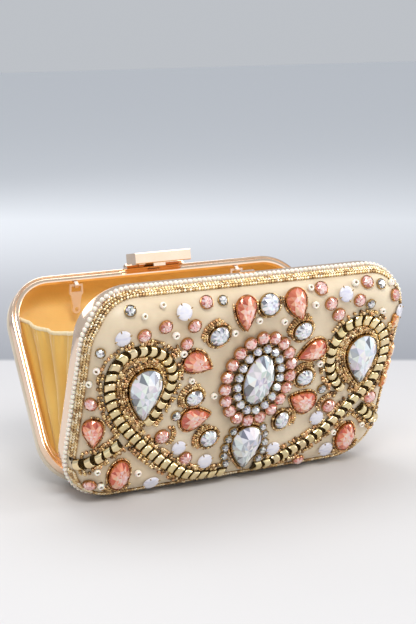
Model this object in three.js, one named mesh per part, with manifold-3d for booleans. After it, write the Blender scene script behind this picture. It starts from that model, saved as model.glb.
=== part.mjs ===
// Box clutch evening bag, standing open, in millimetres.
// +X runs along the width, +Y points to the back half, +Z is up. The origin is the centre of the base.
// Each half is drawn in its own rim frame: x across, z up the half from the hinge line, and a depth that
// grows outwards from the rim plane. side is +1 for the back half and -1 for the front half.
import * as THREE from "three";
import { mergeVertices } from "three/addons/utils/BufferGeometryUtils.js";
import Module from "manifold-3d";

const wasm = await Module();
wasm.setup();

// Driving dimensions
const WIDTH = 200;
const HEIGHT = 123.8;
const CORNER_RADIUS = 27.4;
const CORNER_STEPS = 7;
const HINGE_Y = -8.66;
const HINGE_Z = 6.81;
const BACK_LEAN = THREE.MathUtils.degToRad(32.3);
const FRONT_LEAN = THREE.MathUtils.degToRad(18.5);
const GAP = 0.3;
const BACK = 1;
const FRONT = -1;

// Half shell: a straight edge, then a quarter ellipse into the flat face
const EDGE_DEPTH = { [BACK]: 6, [FRONT]: 9 };
const FACE_DEPTH = 24;
const ROUND_INSET = 14;
const ROUND_STEPS = 5;
const COVER = { outer: 0, inner: 1 };
const COVER_START = 0.5;
const SHELL = { outer: 1.3, inner: 2.8, rim: 1.75 };
const LINING = { outer: 3.1, inner: 3.65, rim: 1.75 };

// Metal frame section, as [inset, depth] round the channel, up to its outer lip
const FRAME_SECTION = [
  [0, 0.6], [0.45, 0.15], [1.1, 0.15], [1.4, 0.7], [1.9, 0.7], [2.2, 0.15], [4.3, 0.15],
  [4.6, 0.45], [4.6, 3.4], [3.95, 3.4], [3.95, 1.45], [1, 1.45],
];
const LIP = { width: 1, over: 0.2 };

// Hinges on the bottom rim
const HINGE_X = 58;
const KNUCKLE_RADIUS = 1.9;
const KNUCKLE_RELIEF = 2.3;
const HINGE_BORE = 0.95;
const HINGE_PIN_RADIUS = 0.85;
const HINGE_LENGTH = 18;
const MIDDLE_KNUCKLE = 6;
const KNUCKLE_GAP = 0.3;
const LEAF = { root: 0.9, near: 2.4, far: 5.8, top: -0.3, bottom: -1.1 };

// Clasp: a bar lever on the back frame, drawn about its pin
const CLASP_PIN = { depth: 3.3, z: 126.3, radius: 0.5, bore: 0.6, half: 18.3 };
const CLASP_TILT = THREE.MathUtils.degToRad(21.35);
const BAR = { half: 18.65, near: -1.5, far: -14, bottom: 0.6, top: 7.2, edge: 0.5 };
const BARREL_RADIUS = 1.2;
const BARREL = { left: -11, right: 14.9 };
const TONGUE = { half: 4, near: -7, far: -8.2, bottom: -1.45, top: 1 };
const WEB = { near: -2.5, far: 0.3, bottom: 0.2, top: 2.2 };
const BASE = { half: 19.4, foot: 124.1, lug: 15.4, groove: 1.5 };
const BASE_PROFILE = [[0.8, 0], [6, 0], [5.6, 3.3], [2.35, 3.3], [1.7, 1.6]];
const BASE_OPENING = { depth: 7, under: 0.4, over: 3 };
const SPRING = { outer: 1.1, inner: 0.75 };
const TOOTH = { half: 4.5, near: 1, far: 2.8, bottom: 124.1, top: 125.2 };

// Strap tabs, which hang from lugs under the top of the back frame
const TAB_X = 54.6;
const TAB_PIVOT = { depth: 2, z: 117 };
const TAB_LENGTH = 17;
const TAB_THICKNESS = 1.2;
const TAB_EDGE = [[4.2, 0.6], [4.4, -5], [3.4, -6.2], [2.2, -12.5]];
const TAB_WINDOW = [[-3.1, -0.6], [-3.2, -4], [3.2, -4], [3.1, -0.6]];
const TAB_END = { radius: 2.6, hole: 1.2, spread: 0.3 };
const LUG = { width: 2.2, radius: 1.75, bore: 1, post: 1.2, top: 118.9 };

// Side gussets
const GUSSET = { x: 93.2, thickness: 0.6, low: 22, high: 102, reach: 5, sag: 6 };

// Trim round the front face
const PEARL = { radius: 1.4, offset: -1.75, angle: 12, sides: 8 };
const BRAID = { inner: -0.3, outer: -1.9, from: 20, to: 36 };

// Box chains and stones on the front face
const LIFT = 0.3;
const CHAIN = { width: 8, lift: 0.5, height: 2.2, steps: 44, sideSteps: 8 };
const LEFT_CHAIN = [
  [-4, 8.4], [-17, 8.4], [-30, 11.5], [-44.5, 20.6], [-56.5, 30.6], [-67, 40.8], [-76, 51],
  [-82.7, 61.5], [-86.3, 72.5], [-86.8, 82.8], [-84.6, 90.1], [-78.4, 95.2], [-68.8, 96.3], [-59, 92.5],
  [-52.4, 85], [-50, 76.6], [-52.2, 66.5], [-57, 56.3], [-61.5, 49.5],
];
const RIGHT_CHAIN = [
  [13, 9], [22, 10], [31, 13.5], [41, 18], [50, 23], [58, 28.8], [65, 35.5],
  [71.5, 43], [78, 50], [84, 58.5], [87.3, 68.5], [87.3, 80], [83.3, 90], [75.5, 96.8],
  [66.5, 99], [58.3, 96], [52.7, 88], [51, 78], [53.3, 67.5], [59.5, 58.7], [64, 54.3],
];
const LEFT_SIDE_CHAIN = [[-75.5, 39.8], [-83, 34.2], [-89.5, 30.3], [-93.5, 27.3]];
const RIGHT_SIDE_CHAIN = [[79, 40], [84.5, 35.5], [89.5, 31.3], [93.5, 28]];

// Stones: centre, size and height. A stone with a tip, in degrees from +x, is a pear; the others are oval
const STONES = [
  { name: "centre_stone", x: 4.2, z: 69.6, width: 19, length: 32, height: 7.5 },
  { name: "left_pear_stone", x: -65.6, z: 69, width: 20, length: 32, height: 6, tip: -87 },
  { name: "right_pear_stone", x: 72.2, z: 73.5, width: 20, length: 32, height: 6, tip: -82 },
  { name: "bottom_pear_stone", x: 4.7, z: 24.4, width: 20, length: 28, height: 6, tip: -88 },
  { name: "peach_pear_top_left", x: -10.8, z: 112.2, width: 12.5, length: 20, height: 4, tip: -84 },
  { name: "peach_pear_top_right", x: 21.5, z: 113.8, width: 13, length: 19, height: 4, tip: -70 },
  { name: "peach_pear_upper_left", x: -35.6, z: 84.6, width: 13, length: 18.5, height: 4, tip: -25 },
  { name: "peach_pear_upper_right", x: 37.4, z: 82.6, width: 13, length: 18, height: 4, tip: 200 },
  { name: "peach_pear_lower_left", x: -31.4, z: 48.9, width: 14, length: 17.5, height: 4, tip: 10 },
  { name: "peach_pear_lower_right", x: 37.6, z: 49.8, width: 14, length: 18, height: 4, tip: 155 },
  { name: "peach_pear_outer_left", x: -91.8, z: 47.5, width: 11.5, length: 17, height: 4, tip: -80 },
  { name: "peach_oval_left", x: -73.4, z: 18.6, width: 12, length: 18, height: 4.5 },
  { name: "peach_oval_right", x: 73.8, z: 20.1, width: 12, length: 18, height: 4.5 },
  { name: "clear_round_top", x: 3.8, z: 115.2, width: 12, length: 12, height: 4 },
  { name: "clear_round_upper_left", x: -25.5, z: 100.3, width: 11.5, length: 11.5, height: 4 },
  { name: "clear_round_upper_right", x: 28.4, z: 97, width: 11, length: 11, height: 4 },
  { name: "clear_round_middle_left", x: -34.3, z: 62.5, width: 10, length: 9.5, height: 3.8 },
  { name: "clear_round_middle_right", x: 36, z: 65.8, width: 10.5, length: 10, height: 3.8 },
  { name: "clear_round_lower_left", x: -20.5, z: 34.1, width: 10.5, length: 10.5, height: 3.8 },
  { name: "clear_round_lower_right", x: 26.2, z: 38.9, width: 8.5, length: 11, height: 3.8 },
  { name: "pink_round_left", x: -50.4, z: 39.7, width: 8, length: 8, height: 3.2 },
  { name: "pink_round_right", x: 57.1, z: 43.6, width: 8, length: 8, height: 3.2 },
];
const STONE_SIDES = 20;
const PEAR_FULLNESS = 1.25;
const STONE_LEVELS = [[0.86, 0], [1, 0.35], [0.58, 1]];

// Rings of stones round the centre stone, each drawn as one band
const RING_CENTRE = { x: 4.2, z: 69.6 };
const RINGS = [
  { name: "crystal_ring", inner: [10.6, 17.2], outer: [16.2, 22.6], height: 5 },
  { name: "pink_ring", inner: [16.6, 23], outer: [24.4, 30.2], height: 4.6 },
];
const RING_STEPS = 40;

function material(color, roughness, metalness) {
  return new THREE.MeshStandardMaterial({ color, roughness, metalness });
}

const MATERIALS = {
  metal: () => material(0xe8b98c, 0.18, 1),
  satin: () => material(0xd9c9a6, 0.45, 0),
  lining: () => material(0xd9a441, 0.5, 0),
  card: () => material(0x8a7a66, 0.8, 0),
  pearl: () => material(0xf2ead8, 0.3, 0),
  gold: () => material(0xcfa457, 0.3, 1),
  clear: () => material(0xe9eef2, 0.05, 0),
  peach: () => material(0xe8866c, 0.1, 0),
  pink: () => material(0xe09a90, 0.15, 0),
};

// A closed body lofted through rings of points. A loop joins its last ring to its first; otherwise
// both end rings are closed with a fan. The faces are turned to point outwards at the end.
function loft(rings, loop = false) {
  const count = rings[0].length;
  const points = rings.flat();
  const triangles = [];
  const spans = loop ? rings.length : rings.length - 1;
  for (let r = 0; r < spans; r += 1) {
    const a = r * count;
    const b = ((r + 1) % rings.length) * count;
    for (let k = 0; k < count; k += 1) {
      const n = (k + 1) % count;
      triangles.push([a + k, b + k, b + n], [a + k, b + n, a + n]);
    }
  }
  if (!loop) {
    for (const [ring, flip] of [[0, false], [rings.length - 1, true]]) {
      const centre = points.length;
      const middle = new THREE.Vector3();
      rings[ring].forEach((p) => middle.addScaledVector(p, 1 / count));
      points.push(middle);
      for (let k = 0; k < count; k += 1) {
        const here = ring * count + k;
        const next = ring * count + ((k + 1) % count);
        triangles.push(flip ? [centre, next, here] : [centre, here, next]);
      }
    }
  }
  const volume = triangles.reduce((sum, [a, b, c]) => {
    const cross = new THREE.Vector3().crossVectors(points[b], points[c]);
    return sum + points[a].dot(cross) / 6;
  }, 0);
  const indices = triangles.flatMap(([a, b, c]) => (volume > 0 ? [a, b, c] : [a, c, b]));
  const geometry = new THREE.BufferGeometry().setFromPoints(points);
  geometry.setIndex(indices);
  return geometry;
}

function toSolid(geometry) {
  const bare = geometry.clone();
  bare.deleteAttribute("normal");
  bare.deleteAttribute("uv");
  const merged = mergeVertices(bare, 1e-4);
  return new wasm.Manifold(new wasm.Mesh({
    numProp: 3,
    vertProperties: new Float32Array(merged.attributes.position.array),
    triVerts: new Uint32Array(merged.index.array),
  }));
}

function toGeometry(solid) {
  const mesh = solid.getMesh();
  const geometry = new THREE.BufferGeometry();
  geometry.setAttribute("position", new THREE.BufferAttribute(mesh.vertProperties, 3));
  geometry.setIndex(new THREE.BufferAttribute(mesh.triVerts, 1));
  return geometry;
}

function box(x0, x1, y0, y1, z0, z1) {
  return new THREE.BoxGeometry(x1 - x0, y1 - y0, z1 - z0)
    .translate((x0 + x1) / 2, (y0 + y1) / 2, (z0 + z1) / 2);
}

// A rod along x between two ends, round the line y, z
function rod(radius, x0, x1, y, z, sides = 16) {
  return new THREE.CylinderGeometry(radius, radius, x1 - x0, sides)
    .rotateZ(Math.PI / 2)
    .translate((x0 + x1) / 2, y, z);
}

// The rounded rectangle of the bag, moved in by an inset
function outline(inset) {
  const radius = CORNER_RADIUS - inset;
  const reach = WIDTH / 2 - CORNER_RADIUS;
  const corners = [[reach, HEIGHT - CORNER_RADIUS], [-reach, HEIGHT - CORNER_RADIUS],
    [-reach, CORNER_RADIUS], [reach, CORNER_RADIUS]];
  return corners.flatMap(([cx, cz], quarter) => {
    const arc = [];
    for (let k = 0; k <= CORNER_STEPS; k += 1) {
      const angle = (quarter + k / CORNER_STEPS) * Math.PI / 2;
      arc.push([cx + radius * Math.cos(angle), cz + radius * Math.sin(angle)]);
    }
    return arc;
  });
}

function rimRing(side, [inset, depth]) {
  return outline(inset).map(([x, z]) => new THREE.Vector3(x, side * depth, z));
}

// The half's outer surface at an angle from the straight edge (0) to the flat face (90 degrees)
function roundPoint(side, offset, degrees) {
  const angle = THREE.MathUtils.degToRad(degrees);
  const inset = ROUND_INSET - (ROUND_INSET - offset) * Math.cos(angle);
  const depth = EDGE_DEPTH[side] + (FACE_DEPTH - EDGE_DEPTH[side] - offset) * Math.sin(angle);
  return [inset, depth];
}

function halfSection(side, { outer, inner, rim = EDGE_DEPTH[side] + COVER_START }) {
  const walls = [outer, inner].map((offset) => {
    const wall = [];
    for (let k = 0; k < ROUND_STEPS; k += 1) {
      wall.push(roundPoint(side, offset, 90 * (1 - k / ROUND_STEPS)));
    }
    wall.push([offset, rim]);
    return wall;
  });
  return [...walls[0], ...walls[1].reverse()];
}

function halfCup(side, layer) {
  return loft(halfSection(side, layer).map((point) => rimRing(side, point)));
}

function halfRing(side, section) {
  return loft(section.map((point) => rimRing(side, point)), true);
}

function frameRing(side) {
  const lip = EDGE_DEPTH[side] + LIP.over;
  let solid = toSolid(halfRing(side, [...FRAME_SECTION, [LIP.width, lip], [0, lip]]));
  const half = HINGE_LENGTH / 2 + 2 * KNUCKLE_GAP;
  for (const x of [-HINGE_X, HINGE_X]) {
    solid = solid.subtract(toSolid(rod(KNUCKLE_RELIEF, x - half, x + half, 0, 0)));
  }
  return toGeometry(solid);
}

// One hinge leaf with its knuckles, round the hinge line at x = 0
function hingeLeaf(side) {
  const half = HINGE_LENGTH / 2;
  const middle = MIDDLE_KNUCKLE / 2;
  const spans = side === BACK
    ? [[-half, -middle - KNUCKLE_GAP], [middle + KNUCKLE_GAP, half]]
    : [[-middle, middle]];
  const plateEnds = [side * LEAF.near, side * LEAF.far].sort((a, b) => a - b);
  let solid = toSolid(box(-half, half, plateEnds[0], plateEnds[1], LEAF.bottom, LEAF.top));
  for (const [x0, x1] of spans) {
    const ends = [side * LEAF.root, side * (LEAF.near + GAP)].sort((a, b) => a - b);
    solid = solid.add(toSolid(rod(KNUCKLE_RADIUS, x0, x1, 0, 0)));
    solid = solid.add(toSolid(box(x0, x1, ends[0], ends[1], LEAF.bottom, LEAF.top)));
  }
  return toGeometry(solid.subtract(toSolid(rod(HINGE_BORE, -half - 1, half + 1, 0, 0))));
}

function claspBase() {
  const profile = new THREE.Shape(BASE_PROFILE.map(([depth, rise]) => new THREE.Vector2(depth, rise)));
  const block = new THREE.ExtrudeGeometry(profile, { depth: 2 * BASE.half, bevelEnabled: false })
    .rotateY(Math.PI / 2)
    .rotateX(Math.PI / 2);
  const placed = block.translate(-BASE.half, 0, BASE.foot);
  const inside = BASE.lug - GAP;
  const groove = rod(BASE.groove, -inside, inside, CLASP_PIN.depth, CLASP_PIN.z);
  const above = box(-inside, inside, 0, BASE_OPENING.depth,
    CLASP_PIN.z - BASE_OPENING.under, CLASP_PIN.z + BASE_OPENING.over);
  const bore = rod(CLASP_PIN.bore, -BASE.half - 1, BASE.half + 1, CLASP_PIN.depth, CLASP_PIN.z);
  let solid = toSolid(placed);
  for (const cut of [groove, above, bore]) {
    solid = solid.subtract(toSolid(cut));
  }
  return toGeometry(solid);
}

// The lever bar, drawn about its pin, level, and then tipped forward to where its spring holds it
function claspBar() {
  const bar = new THREE.Shape();
  const edge = BAR.edge;
  bar.moveTo(BAR.far + edge, BAR.bottom);
  bar.lineTo(BAR.near, BAR.bottom);
  bar.lineTo(BAR.near, BAR.top - edge);
  bar.lineTo(BAR.near - edge, BAR.top);
  bar.lineTo(BAR.far + edge, BAR.top);
  bar.lineTo(BAR.far, BAR.top - edge);
  bar.lineTo(BAR.far, BAR.bottom + edge);
  bar.closePath();
  const block = new THREE.ExtrudeGeometry(bar, { depth: 2 * BAR.half, bevelEnabled: false })
    .rotateY(Math.PI / 2)
    .rotateX(Math.PI / 2)
    .translate(-BAR.half, 0, 0);
  const web = box(BARREL.left, BARREL.right, WEB.near, WEB.far, WEB.bottom, WEB.top);
  const tongue = box(-TONGUE.half, TONGUE.half, TONGUE.far, TONGUE.near, TONGUE.bottom, TONGUE.top);
  let solid = toSolid(block);
  for (const piece of [rod(BARREL_RADIUS, BARREL.left, BARREL.right, 0, 0), web, tongue]) {
    solid = solid.add(toSolid(piece));
  }
  solid = solid.subtract(toSolid(rod(CLASP_PIN.bore, BARREL.left - 1, BARREL.right + 1, 0, 0)));
  return toGeometry(solid).rotateX(CLASP_TILT);
}

// A tube along x, for a coil wound round a pin
function sleeve(outer, inner, x0, x1) {
  const solid = toSolid(rod(outer, x0, x1, 0, 0));
  return toGeometry(solid.subtract(toSolid(rod(inner, x0 - 1, x1 + 1, 0, 0))));
}

// The eye that a strap tab swings in, round the line through y = 0, z = 0
function strapLug() {
  const stem = LUG.top - TAB_PIVOT.z;
  const half = LUG.width / 2;
  const ring = toSolid(rod(LUG.radius, -half, half, 0, 0));
  const post = toSolid(box(-half, half, -LUG.post, LUG.post, 0, stem));
  return toGeometry(ring.add(post).subtract(toSolid(rod(LUG.bore, -LUG.width, LUG.width, 0, 0))));
}

// Points on an arc round x, z
function arcPoints(x, z, radius, from, to, count) {
  const points = [];
  for (let k = 0; k < count; k += 1) {
    const angle = from + (to - from) * k / (count - 1);
    points.push(new THREE.Vector2(x + radius * Math.cos(angle), z + radius * Math.sin(angle)));
  }
  return points;
}

// A strap tab hanging down from its top bar, which lies on the line z = 0
function strapTab() {
  const right = TAB_EDGE.map(([x, z]) => new THREE.Vector2(x, z));
  const left = TAB_EDGE.map(([x, z]) => new THREE.Vector2(-x, z)).reverse();
  const foot = TAB_END.radius - TAB_LENGTH;
  const end = arcPoints(0, foot, TAB_END.radius, TAB_END.spread, -Math.PI - TAB_END.spread, 9);
  const shape = new THREE.Shape([...right, ...end, ...left]);
  const window = TAB_WINDOW.map(([x, z]) => new THREE.Vector2(x, z));
  const hole = arcPoints(0, foot, TAB_END.hole, 0, 1.8 * Math.PI, 10);
  shape.holes.push(new THREE.Path(window), new THREE.Path(hole));
  return new THREE.ExtrudeGeometry(shape, { depth: TAB_THICKNESS, bevelEnabled: false })
    .translate(0, 0, -TAB_THICKNESS / 2)
    .rotateX(Math.PI / 2);
}

// A point of a half, given in its rim frame, in the bag's frame measured from the hinge line
function fromHalf(side, depth, z) {
  const lean = side === BACK ? BACK_LEAN : FRONT_LEAN;
  const y = z * Math.sin(lean) + depth * Math.cos(lean);
  return [side * y, z * Math.cos(lean) - depth * Math.sin(lean)];
}

// The side gusset as a plain panel from one half's rim to the other's
function gussetPanel(side) {
  const shape = new THREE.Shape();
  const [y0, z0] = fromHalf(BACK, GUSSET.reach, GUSSET.low);
  const [y1, z1] = fromHalf(BACK, GUSSET.reach, GUSSET.high);
  const [y2, z2] = fromHalf(FRONT, GUSSET.reach, GUSSET.high);
  const [y3, z3] = fromHalf(FRONT, GUSSET.reach, GUSSET.low);
  shape.moveTo(y0, z0);
  shape.lineTo(y1, z1);
  shape.quadraticCurveTo((y1 + y2) / 2, (z1 + z2) / 2 - 2 * GUSSET.sag, y2, z2);
  shape.lineTo(y3, z3);
  shape.closePath();
  const start = side > 0 ? GUSSET.x : -GUSSET.x - GUSSET.thickness;
  const settings = { depth: GUSSET.thickness, bevelEnabled: false, curveSegments: 6 };
  return new THREE.ExtrudeGeometry(shape, settings)
    .rotateX(Math.PI / 2)
    .rotateZ(Math.PI / 2)
    .translate(start, 0, 0);
}

// Distance in from the outline of the half
function insetAt(x, z) {
  const dx = Math.abs(x) - (WIDTH / 2 - CORNER_RADIUS);
  const dz = Math.abs(z - HEIGHT / 2) - (HEIGHT / 2 - CORNER_RADIUS);
  if (dx > 0 && dz > 0) {
    return CORNER_RADIUS - Math.hypot(dx, dz);
  }
  return CORNER_RADIUS - Math.max(dx, dz);
}

// Point and outward normal of the front cover over x, z
function frontSurface(x, z) {
  const depthAt = (px, pz) => {
    const cosine = Math.min(Math.max((ROUND_INSET - insetAt(px, pz)) / ROUND_INSET, 0), 1);
    return EDGE_DEPTH[FRONT] + (FACE_DEPTH - EDGE_DEPTH[FRONT]) * Math.sqrt(1 - cosine * cosine);
  };
  const step = 0.05;
  const slopeX = (depthAt(x + step, z) - depthAt(x - step, z)) / (2 * step);
  const slopeZ = (depthAt(x, z + step) - depthAt(x, z - step)) / (2 * step);
  return {
    point: new THREE.Vector3(x, -depthAt(x, z), z),
    normal: new THREE.Vector3(-slopeX, -1, -slopeZ).normalize(),
  };
}

// A flat box chain laid along a route on the front cover
function chain(route, steps) {
  const points = route.map(([x, z]) => new THREE.Vector3(x, 0, z));
  const curve = new THREE.CatmullRomCurve3(points, false, "centripetal");
  const rings = [];
  for (let k = 0; k <= steps; k += 1) {
    const at = curve.getPointAt(k / steps);
    const { point, normal } = frontSurface(at.x, at.z);
    const across = new THREE.Vector3().crossVectors(normal, curve.getTangentAt(k / steps)).normalize();
    const top = CHAIN.lift + CHAIN.height;
    const corners = [[-1, CHAIN.lift], [1, CHAIN.lift], [1, top], [-1, top]];
    rings.push(corners.map(([sideways, lift]) => point.clone()
      .addScaledVector(across, sideways * CHAIN.width / 2)
      .addScaledVector(normal, lift)));
  }
  return loft(rings);
}

function stoneOutline({ width, length, tip }) {
  const points = [];
  for (let k = 0; k < STONE_SIDES; k += 1) {
    const t = 2 * Math.PI * k / STONE_SIDES;
    if (tip !== undefined) {
      const along = length / 2 * Math.cos(t);
      const across = width / 2 * PEAR_FULLNESS * Math.sin(t) * Math.sin(t / 2);
      const turn = THREE.MathUtils.degToRad(tip);
      points.push([along * Math.cos(turn) - across * Math.sin(turn),
        along * Math.sin(turn) + across * Math.cos(turn)]);
    } else {
      points.push([width / 2 * Math.cos(t), length / 2 * Math.sin(t)]);
    }
  }
  return points;
}

// A cut stone: a flat base, a girdle and a small top facet
function stone(spec) {
  const { point, normal } = frontSurface(spec.x, spec.z);
  const up = new THREE.Vector3(0, 0, 1).projectOnPlane(normal).normalize();
  const right = new THREE.Vector3().crossVectors(up, normal).normalize();
  const levels = STONE_LEVELS.map(([scale, share]) => [scale, LIFT + share * spec.height]);
  return loft(levels.map(([scale, lift]) => stoneOutline(spec).map(([a, b]) => point.clone()
    .addScaledVector(right, a * scale)
    .addScaledVector(up, b * scale)
    .addScaledVector(normal, lift))));
}

// An oval band of set stones on the flat of the front cover
function stoneBand({ inner, outer, height }) {
  const section = [[inner, LIFT], [outer, LIFT], [outer, LIFT + 0.5 * height], [null, LIFT + height],
    [inner, LIFT + 0.5 * height]];
  const middle = [(inner[0] + outer[0]) / 2, (inner[1] + outer[1]) / 2];
  return loft(section.map(([axes, lift]) => {
    const [a, b] = axes ?? middle;
    const ring = [];
    for (let k = 0; k < RING_STEPS; k += 1) {
      const t = 2 * Math.PI * k / RING_STEPS;
      const x = RING_CENTRE.x + a * Math.cos(t);
      const z = RING_CENTRE.z + b * Math.sin(t);
      ring.push(new THREE.Vector3(x, -FACE_DEPTH - lift, z));
    }
    return ring;
  }), true);
}

function pearlSection() {
  const [inset, depth] = roundPoint(FRONT, PEARL.offset, PEARL.angle);
  const points = [];
  for (let k = 0; k < PEARL.sides; k += 1) {
    const t = 2 * Math.PI * (k + 0.5) / PEARL.sides;
    const reach = PEARL.radius / Math.cos(Math.PI / PEARL.sides);
    points.push([inset + reach * Math.cos(t), depth + reach * Math.sin(t)]);
  }
  return points;
}

function braidSection() {
  const middle = (BRAID.from + BRAID.to) / 2;
  const angles = [BRAID.from, middle, BRAID.to];
  return [
    ...angles.map((degrees) => roundPoint(FRONT, BRAID.inner, degrees)),
    ...angles.reverse().map((degrees) => roundPoint(FRONT, BRAID.outer, degrees)),
  ];
}

const bag = new THREE.Group();
const hinged = new THREE.Group();
hinged.position.set(0, HINGE_Y, HINGE_Z);
bag.add(hinged);

const backHalf = new THREE.Group();
backHalf.rotation.x = -BACK_LEAN;
const frontHalf = new THREE.Group();
frontHalf.rotation.x = FRONT_LEAN;
hinged.add(backHalf, frontHalf);

function addPiece(parent, name, geometry, finish, place = [0, 0, 0]) {
  const mesh = new THREE.Mesh(geometry, MATERIALS[finish]());
  mesh.name = name;
  mesh.position.set(...place);
  parent.add(mesh);
}

for (const [side, label, half] of [[BACK, "back", backHalf], [FRONT, "front", frontHalf]]) {
  addPiece(half, `${label}_frame`, frameRing(side), "metal");
  addPiece(half, `${label}_cover`, halfCup(side, COVER), "satin");
  addPiece(half, `${label}_shell`, halfCup(side, SHELL), "card");
  addPiece(half, `${label}_lining`, halfCup(side, LINING), "lining");
  for (const [place, x] of [["left", -HINGE_X], ["right", HINGE_X]]) {
    addPiece(half, `${label}_hinge_${place}`, hingeLeaf(side), "metal", [x, 0, 0]);
  }
}

// Hinge pins, gussets, clasp and strap tabs
for (const [place, sign] of [["left", -1], ["right", 1]]) {
  const pinHalf = HINGE_LENGTH / 2;
  addPiece(backHalf, `hinge_pin_${place}`, rod(HINGE_PIN_RADIUS, -pinHalf, pinHalf, 0, 0), "metal",
    [sign * HINGE_X, 0, 0]);
  addPiece(hinged, `${place}_gusset`, gussetPanel(sign), "satin");
  addPiece(backHalf, `${place}_strap_lug`, strapLug(), "metal",
    [sign * TAB_X, TAB_PIVOT.depth, TAB_PIVOT.z]);
  addPiece(hinged, `${place}_strap_tab`, strapTab(), "metal",
    [sign * TAB_X, ...fromHalf(BACK, TAB_PIVOT.depth, TAB_PIVOT.z)]);
}
const pinPlace = [0, CLASP_PIN.depth, CLASP_PIN.z];
addPiece(backHalf, "clasp_base", claspBase(), "metal");
addPiece(backHalf, "clasp_bar", claspBar(), "metal", pinPlace);
addPiece(backHalf, "clasp_pin",
  rod(CLASP_PIN.radius, -CLASP_PIN.half, CLASP_PIN.half, 0, 0), "metal", pinPlace);
addPiece(backHalf, "clasp_spring",
  sleeve(SPRING.outer, SPRING.inner, 2 * GAP - BASE.lug, BARREL.left - GAP), "metal", pinPlace);
addPiece(frontHalf, "clasp_catch",
  box(-TOOTH.half, TOOTH.half, -TOOTH.far, -TOOTH.near, TOOTH.bottom, TOOTH.top), "metal");

// Trim and stones on the front half
addPiece(frontHalf, "pearl_trim", halfRing(FRONT, pearlSection()), "pearl");
addPiece(frontHalf, "bead_braid", halfRing(FRONT, braidSection()), "gold");
addPiece(frontHalf, "left_box_chain", chain(LEFT_CHAIN, CHAIN.steps), "gold");
addPiece(frontHalf, "right_box_chain", chain(RIGHT_CHAIN, CHAIN.steps), "gold");
addPiece(frontHalf, "left_side_chain", chain(LEFT_SIDE_CHAIN, CHAIN.sideSteps), "gold");
addPiece(frontHalf, "right_side_chain", chain(RIGHT_SIDE_CHAIN, CHAIN.sideSteps), "gold");
for (const ring of RINGS) {
  addPiece(frontHalf, ring.name, stoneBand(ring), ring.name === "pink_ring" ? "pink" : "clear");
}
for (const spec of STONES) {
  const finish = ["peach", "pink"].find((colour) => spec.name.startsWith(colour)) ?? "clear";
  addPiece(frontHalf, spec.name, stone(spec), finish);
}

export default bag;
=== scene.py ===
import math
import random

import bmesh
import bpy
import numpy as np
from mathutils import Matrix, Vector


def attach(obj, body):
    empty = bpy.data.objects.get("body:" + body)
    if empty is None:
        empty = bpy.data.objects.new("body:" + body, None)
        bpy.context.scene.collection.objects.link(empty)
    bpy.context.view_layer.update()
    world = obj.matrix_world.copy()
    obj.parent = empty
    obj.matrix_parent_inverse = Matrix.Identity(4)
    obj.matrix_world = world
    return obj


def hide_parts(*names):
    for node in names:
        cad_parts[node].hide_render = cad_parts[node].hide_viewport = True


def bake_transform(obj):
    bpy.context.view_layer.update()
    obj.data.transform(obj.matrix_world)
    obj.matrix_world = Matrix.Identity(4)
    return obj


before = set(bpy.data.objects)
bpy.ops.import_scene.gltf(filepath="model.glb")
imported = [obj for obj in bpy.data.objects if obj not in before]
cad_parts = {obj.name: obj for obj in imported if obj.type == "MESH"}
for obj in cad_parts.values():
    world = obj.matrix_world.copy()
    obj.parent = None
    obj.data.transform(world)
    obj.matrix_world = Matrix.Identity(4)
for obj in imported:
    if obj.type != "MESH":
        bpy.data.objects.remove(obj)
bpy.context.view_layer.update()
MM = 0.001

# Driving dimensions of the bag, in millimetres and radians, as in the CAD model. Each half has its own rim
# frame: x across, z up the half from the hinge line, and depth growing outwards from the rim plane.
WIDTH = 200.0
HEIGHT = 123.8
CORNER = 27.4
HINGE = Vector((0.0, -8.66, 6.81)) * MM
BACK_LEAN = math.radians(32.3)
FRONT_LEAN = math.radians(18.5)
FACE_DEPTH = 24.0
ROUND_INSET = 14.0
BACK, FRONT = 1, -1
EDGE_DEPTH = {BACK: 6.0, FRONT: 9.0}
BODY = {BACK: "back_half", FRONT: "front_half"}
HALF = {
    BACK: Matrix.Translation(HINGE) @ Matrix.Rotation(-BACK_LEAN, 4, "X"),
    FRONT: Matrix.Translation(HINGE) @ Matrix.Rotation(FRONT_LEAN, 4, "X"),
}
RIM_SEED = 11
rng = random.Random(RIM_SEED)


# ---------------------------------------------------------------- mesh helpers

def smooth_mesh(mesh, angle):
    """Smooth shading with edges sharper than the angle (degrees) kept crisp. None is flat shading."""
    if angle is None:
        mesh.shade_flat()
        return
    mesh.shade_smooth()
    mesh.set_sharp_from_angle(angle=math.radians(angle))


def make_piece(name, verts, faces, material, body, matrix=None, angle=35, tints=None):
    """A mesh object from points in mm in a half's rim frame (or the row frame), riding on a body."""
    mesh = bpy.data.meshes.new(name)
    points = np.asarray(verts, float).reshape(-1, 3) * MM
    mesh.from_pydata(points.tolist(), [], [tuple(f) for f in faces])
    mesh.validate()
    if tints is not None:
        layer = mesh.color_attributes.new("tint", "FLOAT_COLOR", "CORNER")
        colours = np.ones((len(mesh.loops), 4), np.float32)
        sizes = [len(p.vertices) for p in mesh.polygons]
        colours[:, :3] = np.repeat(np.asarray(tints, np.float32), sizes, axis=0)
        layer.data.foreach_set("color", colours.ravel())
    piece = bpy.data.objects.new(name, mesh)
    bpy.context.scene.collection.objects.link(piece)
    outward(mesh)
    smooth_mesh(mesh, angle)
    mesh.materials.append(material)
    if matrix is not None:
        mesh.transform(matrix)
    if body is not None:
        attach(piece, body)
    return piece


def outward(mesh):
    """Turns every closed part of the mesh to face outwards."""
    work = bmesh.new()
    work.from_mesh(mesh)
    bmesh.ops.recalc_face_normals(work, faces=work.faces)
    work.to_mesh(mesh)
    work.free()


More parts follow.
